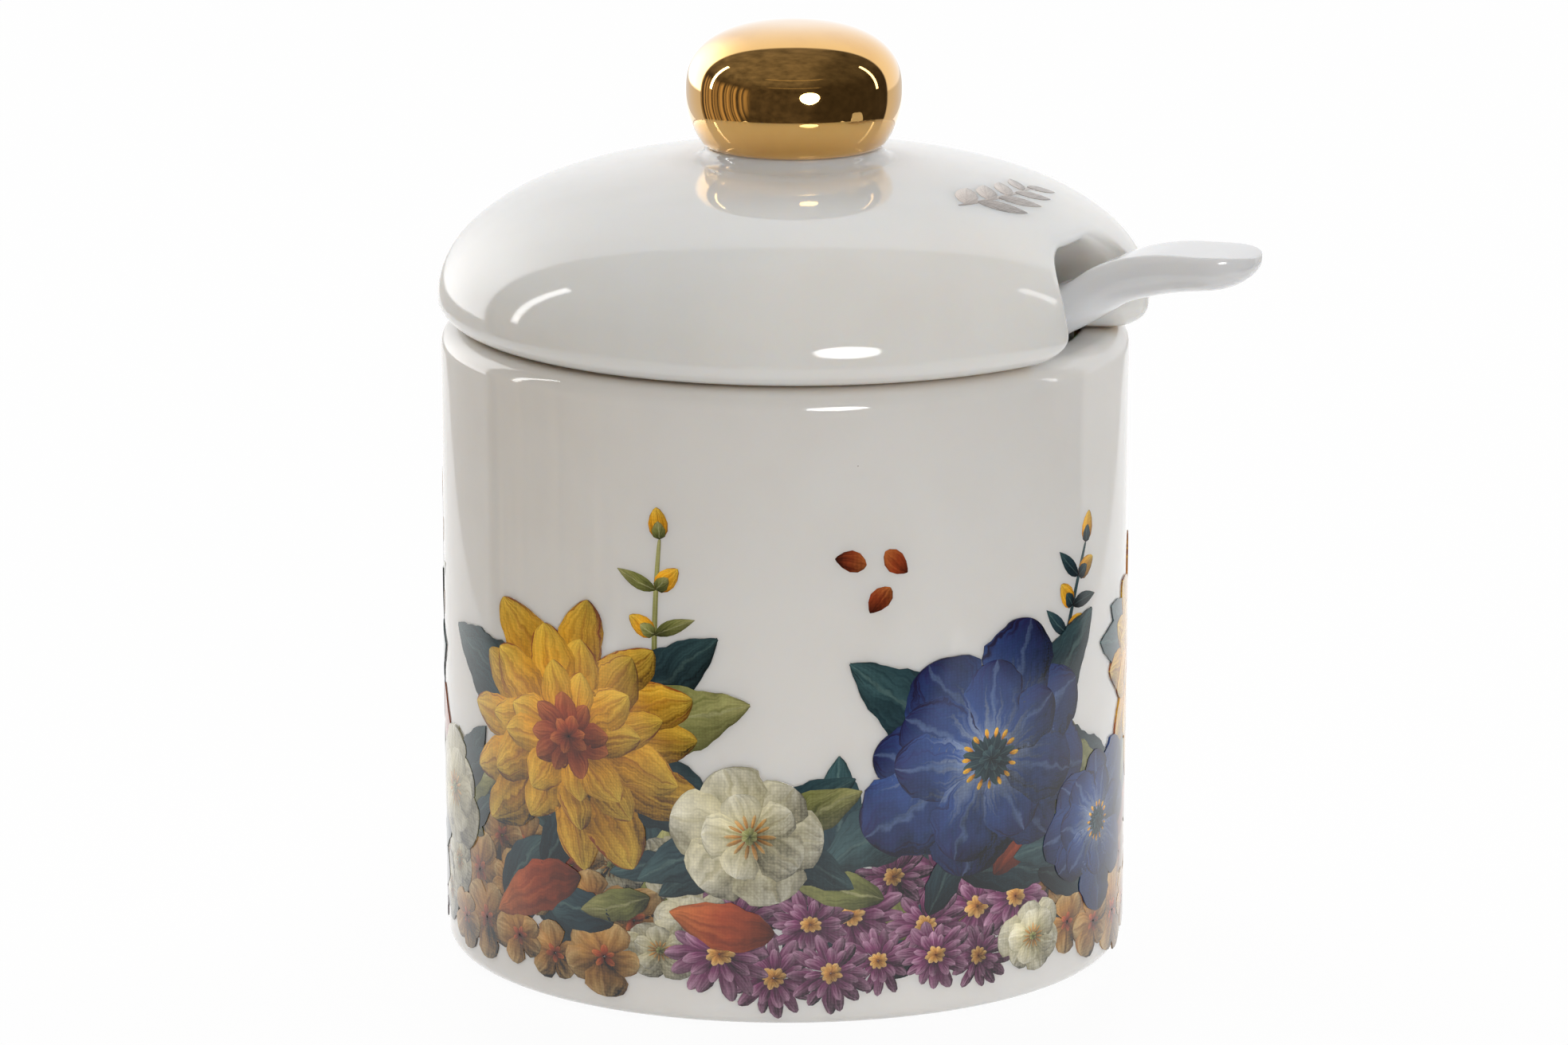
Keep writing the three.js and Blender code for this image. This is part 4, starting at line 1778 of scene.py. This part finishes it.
    def drifting(self, band: Transfer) -> None:
        """Lays a few loose petals on the bare glaze.

        Args:
            band: The transfer.
        """
        petal = Petal(4.6, 3.2, 1.2, 0.6, 0.1)
        places = [((12.0, 60.0), 0.6), ((17.5, 65.5), -0.9), ((7.0, 68.0), 1.7), ((-112.0, 66.0), 0.4)]
        for place, turn in places:
            band.lay(Hue.RUST, petal, place, turn, 1)

    def lid_sprig(self, loose: Transfer) -> None:
        """Lays the sprig on the lid: a stem with leaves that grow smaller towards its tip.

        Args:
            loose: The lid's transfer.
        """
        loose.lay(Hue.DUSK, Petal(20.0, 0.7, 1.0, 0.2, 0.05), (-9.5, 0.5), self.sprig_heading, 1)
        for i in range(self.sprig_leaves):
            length = 7.4 - 0.4 * i
            turn = self.sprig_heading + (self.sprig_spread if i % 2 else -self.sprig_spread)
            place = (-8.0 + 2.5 * i, 0.5 - 0.22 * i)
            loose.lay(Hue.DUSK, pointed_leaf(length, 0.46 * length, 0.1, 0.0), place, turn, 3 + 2 * i)

    def build(self) -> list[bpy.types.Object]:
        """Lays the whole print.

        Returns:
            Its pieces.
        """
        band = Transfer("band", self.jar.wrap, "jar", "jar_glaze", self.band_seed)
        self.leaves(band)
        self.fillers(band)
        self.sprigs(band)
        self.sprays(band)
        self.heroes(band)
        self.drifting(band)
        loose = Transfer("lid_leaves", self.lid.wrap, "cover", "lid_glaze", self.sprig_seed)
        self.lid_sprig(loose)
        return band.finish() + loose.finish()


class LampFace(Enum):
    """The shape of a lamp's face."""

    ROUND = "ELLIPSE"
    SQUARE = "RECTANGLE"


@dataclass(frozen=True)
class Lamp:
    """A soft lamp that faces the jar.

    The azimuth is in degrees to the right of the camera, the lengths are metres and the power is in
    watts. A lamp that isn't mirrored leaves no highlight.
    """

    name: str
    azimuth: float
    elevation: float
    distance: float
    size: Point
    power: float
    face: LampFace = LampFace.SQUARE
    mirrored: bool = False


@dataclass
class Studio:
    """The white table, the soft light and the camera."""

    eye_distance: float = 1.25
    eye_height: float = 0.34948
    eye_side: float = -0.000175
    eye_drop: float = 0.2261
    focal_pixels: float = 11101.06
    picture_width: float = 1968.0
    sensor: float = 36.0
    nearest: float = 0.01
    floor_white: Colour = (0.93, 0.93, 0.93)
    room: Colour = (0.085, 0.072, 0.058)
    ceiling: Colour = (0.2, 0.18, 0.15)
    corner: Colour = (0.03, 0.025, 0.02)
    curtain: Colour = (0.6, 0.45, 0.26)
    tube: Colour = (0.55, 0.46, 0.3)
    sweep: Colour = (0.72, 0.72, 0.73)
    sweep_top: Colour = (1.3, 1.3, 1.31)
    mirrored: Colour = (1.05, 1.05, 1.06)
    left_flank: Colour = (3.2, 3.2, 3.22)
    right_flank: Colour = (1.05, 1.05, 1.05)
    beneath: Colour = (0.72, 0.7, 0.67)
    table_front: float = 0.16
    table_back: float = 1.6
    table_half: float = 0.22
    table_share: float = 0.95
    table_gleam: float = 0.9
    table_roughness: float = 0.3
    gleam: float = 1.2
    sweep_rise: Point = (0.2, 0.7)
    flank_side: Point = (0.15, 0.75)
    flank_height: Point = (0.9, 0.4)
    flank_change: Point = (-0.3, 0.3)
    horizon: Point = (-0.06, -0.1)
    room_edge: Point = (-0.48, -0.43)
    ceiling_rise: Point = (0.25, 0.6)
    patch_scale: float = 7.0
    patch_light: Point = (1.6, 0.2)
    corner_side: Point = (0.1, 0.55)
    corner_share: float = 0.65
    curtain_side: Point = (-0.7, -0.85)
    curtain_height: Point = (0.3, 0.15)
    curtain_folds: float = 14.0
    fold_edges: Point = (0.4, 0.6)
    tube_side: Point = (0.5, 0.4)
    tubes: tuple[Point, ...] = ((0.36, 0.008), (0.62, 0.012))
    tube_core: float = 0.3
    lamp_target: float = 0.1
    lights: tuple[Lamp, ...] = (
        Lamp("key", 16.5, 4.5, 1.25, (0.46, 0.38), 6.0, LampFace.ROUND, True),
        Lamp("front", 30.0, 25.0, 1.2, (0.5, 0.5), 0.9),
        Lamp("left_strip", -99.0, 22.0, 1.3, (0.08, 0.9), 1.9, mirrored=True),
        Lamp("left_softbox", -131.0, 23.0, 1.35, (0.68, 0.88), 4.5),
        Lamp("right_strip", 99.0, 22.0, 1.3, (0.08, 0.9), 0.9, mirrored=True),
        Lamp("right_softbox", 131.0, 23.0, 1.35, (0.68, 0.88), 4.1),
        Lamp("top", 0.0, 85.0, 1.6, (1.1, 1.1), 6.8),
    )

    def toward(self, azimuth: float, elevation: float, distance: float) -> Vector:
        """Finds a place as it is seen from the jar.

        Args:
            azimuth: Degrees to the right of the camera.
            elevation: Degrees above the table.
            distance: Distance in metres.

        Returns:
            The place.
        """
        rise = math.radians(elevation)
        turn = FRONT + math.radians(azimuth)
        return polar(distance * math.cos(rise), turn, distance * math.sin(rise))

    def camera(self) -> None:
        """Sets the camera at the photograph's place."""
        data = bpy.data.cameras.new("camera")
        data.sensor_fit = "HORIZONTAL"
        data.sensor_width = self.sensor
        data.lens = self.sensor * self.focal_pixels / self.picture_width
        data.clip_start = self.nearest
        camera = bpy.data.objects.new("camera", data)
        bpy.context.scene.collection.objects.link(camera)
        right = Vector((-math.sin(FRONT), math.cos(FRONT), 0.0))
        place = self.toward(0.0, 0.0, self.eye_distance) + right * self.eye_side
        camera.location = place + Vector((0.0, 0.0, self.eye_height))
        camera.rotation_euler = (0.5 * math.pi - self.eye_drop, 0.0, FRONT + 0.5 * math.pi)
        bpy.context.scene.camera = camera

    def floor(self) -> None:
        """Lays the white table, which shows white to the camera and keeps the jar's shadow."""
        bm = bmesh.new()
        bmesh.ops.create_grid(bm, x_segments=8, y_segments=8, size=1.0)
        half = 0.5 * (self.table_front + self.table_back)
        bmesh.ops.scale(bm, verts=bm.verts[:], vec=(self.table_half, half, 1.0))
        bmesh.ops.translate(bm, verts=bm.verts[:], vec=(0.0, half - self.table_front, 0.0))
        turn = Matrix.Rotation(FRONT + 0.5 * math.pi, 4, "Z")
        bmesh.ops.transform(bm, matrix=turn, verts=bm.verts[:])
        mesh = bpy.data.meshes.new("table")
        bm.to_mesh(mesh)
        bm.free()
        table = bpy.data.objects.new("table", mesh)
        bpy.context.scene.collection.objects.link(table)
        material, sheet, shader = new_material("table_white")
        sheet.put(shader.inputs["Base Color"], self.floor_white)
        shader.inputs["Roughness"].default_value = self.table_roughness
        path = sheet.add("LightPath")
        strength = sheet.scaled(path.outputs["Is Glossy Ray"], self.gleam - 1.0, 1.0)
        glow = sheet.add("Emission", {"Color": (1.0, 1.0, 1.0), "Strength": strength})
        share = sheet.math("MULTIPLY", path.outputs["Is Camera Ray"], self.table_share)
        gleam = sheet.math("MULTIPLY", path.outputs["Is Glossy Ray"], self.table_gleam)
        share = sheet.math("MAXIMUM", share, gleam)
        both = sheet.add("MixShader", {0: share, 1: shader.outputs[0], 2: glow.outputs[0]})
        output = next(n for n in sheet.tree.nodes if n.type == "OUTPUT_MATERIAL")
        sheet.put(output.inputs["Surface"], both.outputs[0])
        mesh.materials.append(material)

    def world(self) -> None:
        """Surrounds the jar with a white sweep behind it and a darker room on the camera's side."""
        world = bpy.data.worlds.new("studio")
        world.use_nodes = True
        bpy.context.scene.world = world
        sheet = Sheet(world.node_tree)
        aim = sheet.add("TexCoord").outputs["Generated"]
        path = sheet.add("LightPath")
        towards = tuple(self.toward(0.0, 0.0, 1.0))
        right = tuple(self.toward(90.0, 0.0, 1.0))
        facing = sheet.add("VectorMath", {0: aim, 1: towards}, operation="DOT_PRODUCT").outputs["Value"]
        side = sheet.add("VectorMath", {0: aim, 1: right}, operation="DOT_PRODUCT").outputs["Value"]
        height = sheet.add("SeparateXYZ", {0: aim}).outputs["Z"]
        sweep = sheet.blend(sheet.ease(height, *self.sweep_rise), self.sweep, self.sweep_top)
        outward = sheet.ease(sheet.math("ABSOLUTE", side), *self.flank_side)
        outward = sheet.math("MULTIPLY", outward, sheet.ease(height, *self.flank_height))
        flank = sheet.blend(sheet.ease(side, *self.flank_change), self.left_flank, self.right_flank)
        mirrored = sheet.blend(outward, self.mirrored, flank)
        mirrored = sheet.blend(sheet.ease(height, *self.horizon), mirrored, self.beneath)
        sweep = sheet.blend(path.outputs["Is Glossy Ray"], sweep, mirrored)
        room = self.room_colour(sheet, aim, facing, side)
        around = sheet.blend(sheet.ease(facing, *self.room_edge), sweep, room)
        seen = sheet.blend(path.outputs["Is Camera Ray"], around, (1.0, 1.0, 1.0))
        background = sheet.add("Background", {"Color": seen, "Strength": 1.0})
        sheet.add("OutputWorld", {"Surface": background.outputs[0]})

    def room_colour(
        self,
        sheet: Sheet,
        aim: bpy.types.NodeSocket,
        facing: bpy.types.NodeSocket,
        side: bpy.types.NodeSocket,
    ) -> bpy.types.NodeSocket:
        """Paints the room: a ceiling with tubes of light, a lit curtain on the left, a dark right corner.

        Args:
            sheet: The world's nodes.
            aim: Direction that is looked up.
            facing: How far it points towards the camera.
            side: How far it points to the right.

        Returns:
            The room's colour.
        """
        height = sheet.add("SeparateXYZ", {0: aim}).outputs["Z"]
        room = sheet.blend(sheet.ease(height, *self.ceiling_rise), self.room, self.ceiling)
        patches = sheet.scaled(sheet.noise(aim, self.patch_scale, 3.0), *self.patch_light)
        room = sheet.blend(1.0, room, sheet.grey(patches), "MULTIPLY")
        dark = sheet.math("MULTIPLY", sheet.ease(side, *self.corner_side), self.corner_share)
        room = sheet.blend(dark, room, self.corner)
        pleats = sheet.math("MULTIPLY", facing, self.curtain_folds)
        folds = sheet.add("CombineXYZ", {"X": pleats}).outputs[0]
        lit = sheet.ease(side, *self.curtain_side)
        lit = sheet.math("MULTIPLY", lit, sheet.ease(height, *self.curtain_height))
        lit = sheet.math("MULTIPLY", lit, sheet.ease(sheet.noise(folds, 1.0, 1.0), *self.fold_edges))
        room = sheet.blend(lit, room, self.curtain)
        middle = sheet.ease(sheet.math("ABSOLUTE", side), *self.tube_side)
        for level, width in self.tubes:
            gap = sheet.math("ABSOLUTE", sheet.math("SUBTRACT", height, level))
            line = sheet.math("MULTIPLY", sheet.ease(gap, width, self.tube_core * width), middle)
            room = sheet.blend(line, room, self.tube)
        return room

    def hang(self, lamp: Lamp) -> None:
        """Hangs a lamp and turns it to the jar.

        Args:
            lamp: The lamp.
        """
        data = bpy.data.lights.new(lamp.name, "AREA")
        data.shape = lamp.face.value
        data.size, data.size_y = lamp.size
        data.energy = lamp.power
        light = bpy.data.objects.new(lamp.name, data)
        bpy.context.scene.collection.objects.link(light)
        target = Vector((0.0, 0.0, self.lamp_target))
        light.location = self.toward(lamp.azimuth, lamp.elevation, lamp.distance) + target
        light.rotation_euler = (target - light.location).to_track_quat("-Z", "Y").to_euler()
        light.visible_glossy = lamp.mirrored

    def build(self) -> None:
        """Sets up the camera, the table and the light."""
        bpy.context.scene.view_settings.view_transform = "Standard"
        self.camera()
        self.floor()
        self.world()
        for lamp in self.lights:
            self.hang(lamp)


def main() -> None:
    """Builds the studio, the pieces and the print."""
    logging.basicConfig(level=logging.INFO, format="%(name)s %(message)s")
    Studio().build()
    jar = JarBody()
    lid = Lid()
    pot_glaze = Glaze(
        "pot_glaze_finish",
        (0.84, 0.825, 0.8),
        (0.82, 0.8, 0.77),
        bare_from=-1.0,
        bare_to=0.05,
    )
    lid_glaze = Glaze(
        "lid_glaze_finish",
        (0.85, 0.845, 0.825),
        (0.83, 0.82, 0.795),
        bare_from=92.0,
        bare_to=92.6,
        glow_share=0.8,
        glow_depth=0.008,
    )
    spoon_glaze = Glaze("spoon_glaze_finish", (0.75, 0.765, 0.785), (0.73, 0.745, 0.77))
    jar.build(pot_glaze)
    lid.build(lid_glaze)
    Knob().build(Lustre())
    Spoon().build(spoon_glaze)
    FlowerBand(jar, lid).build()


if __name__ == "__main__":
    main()
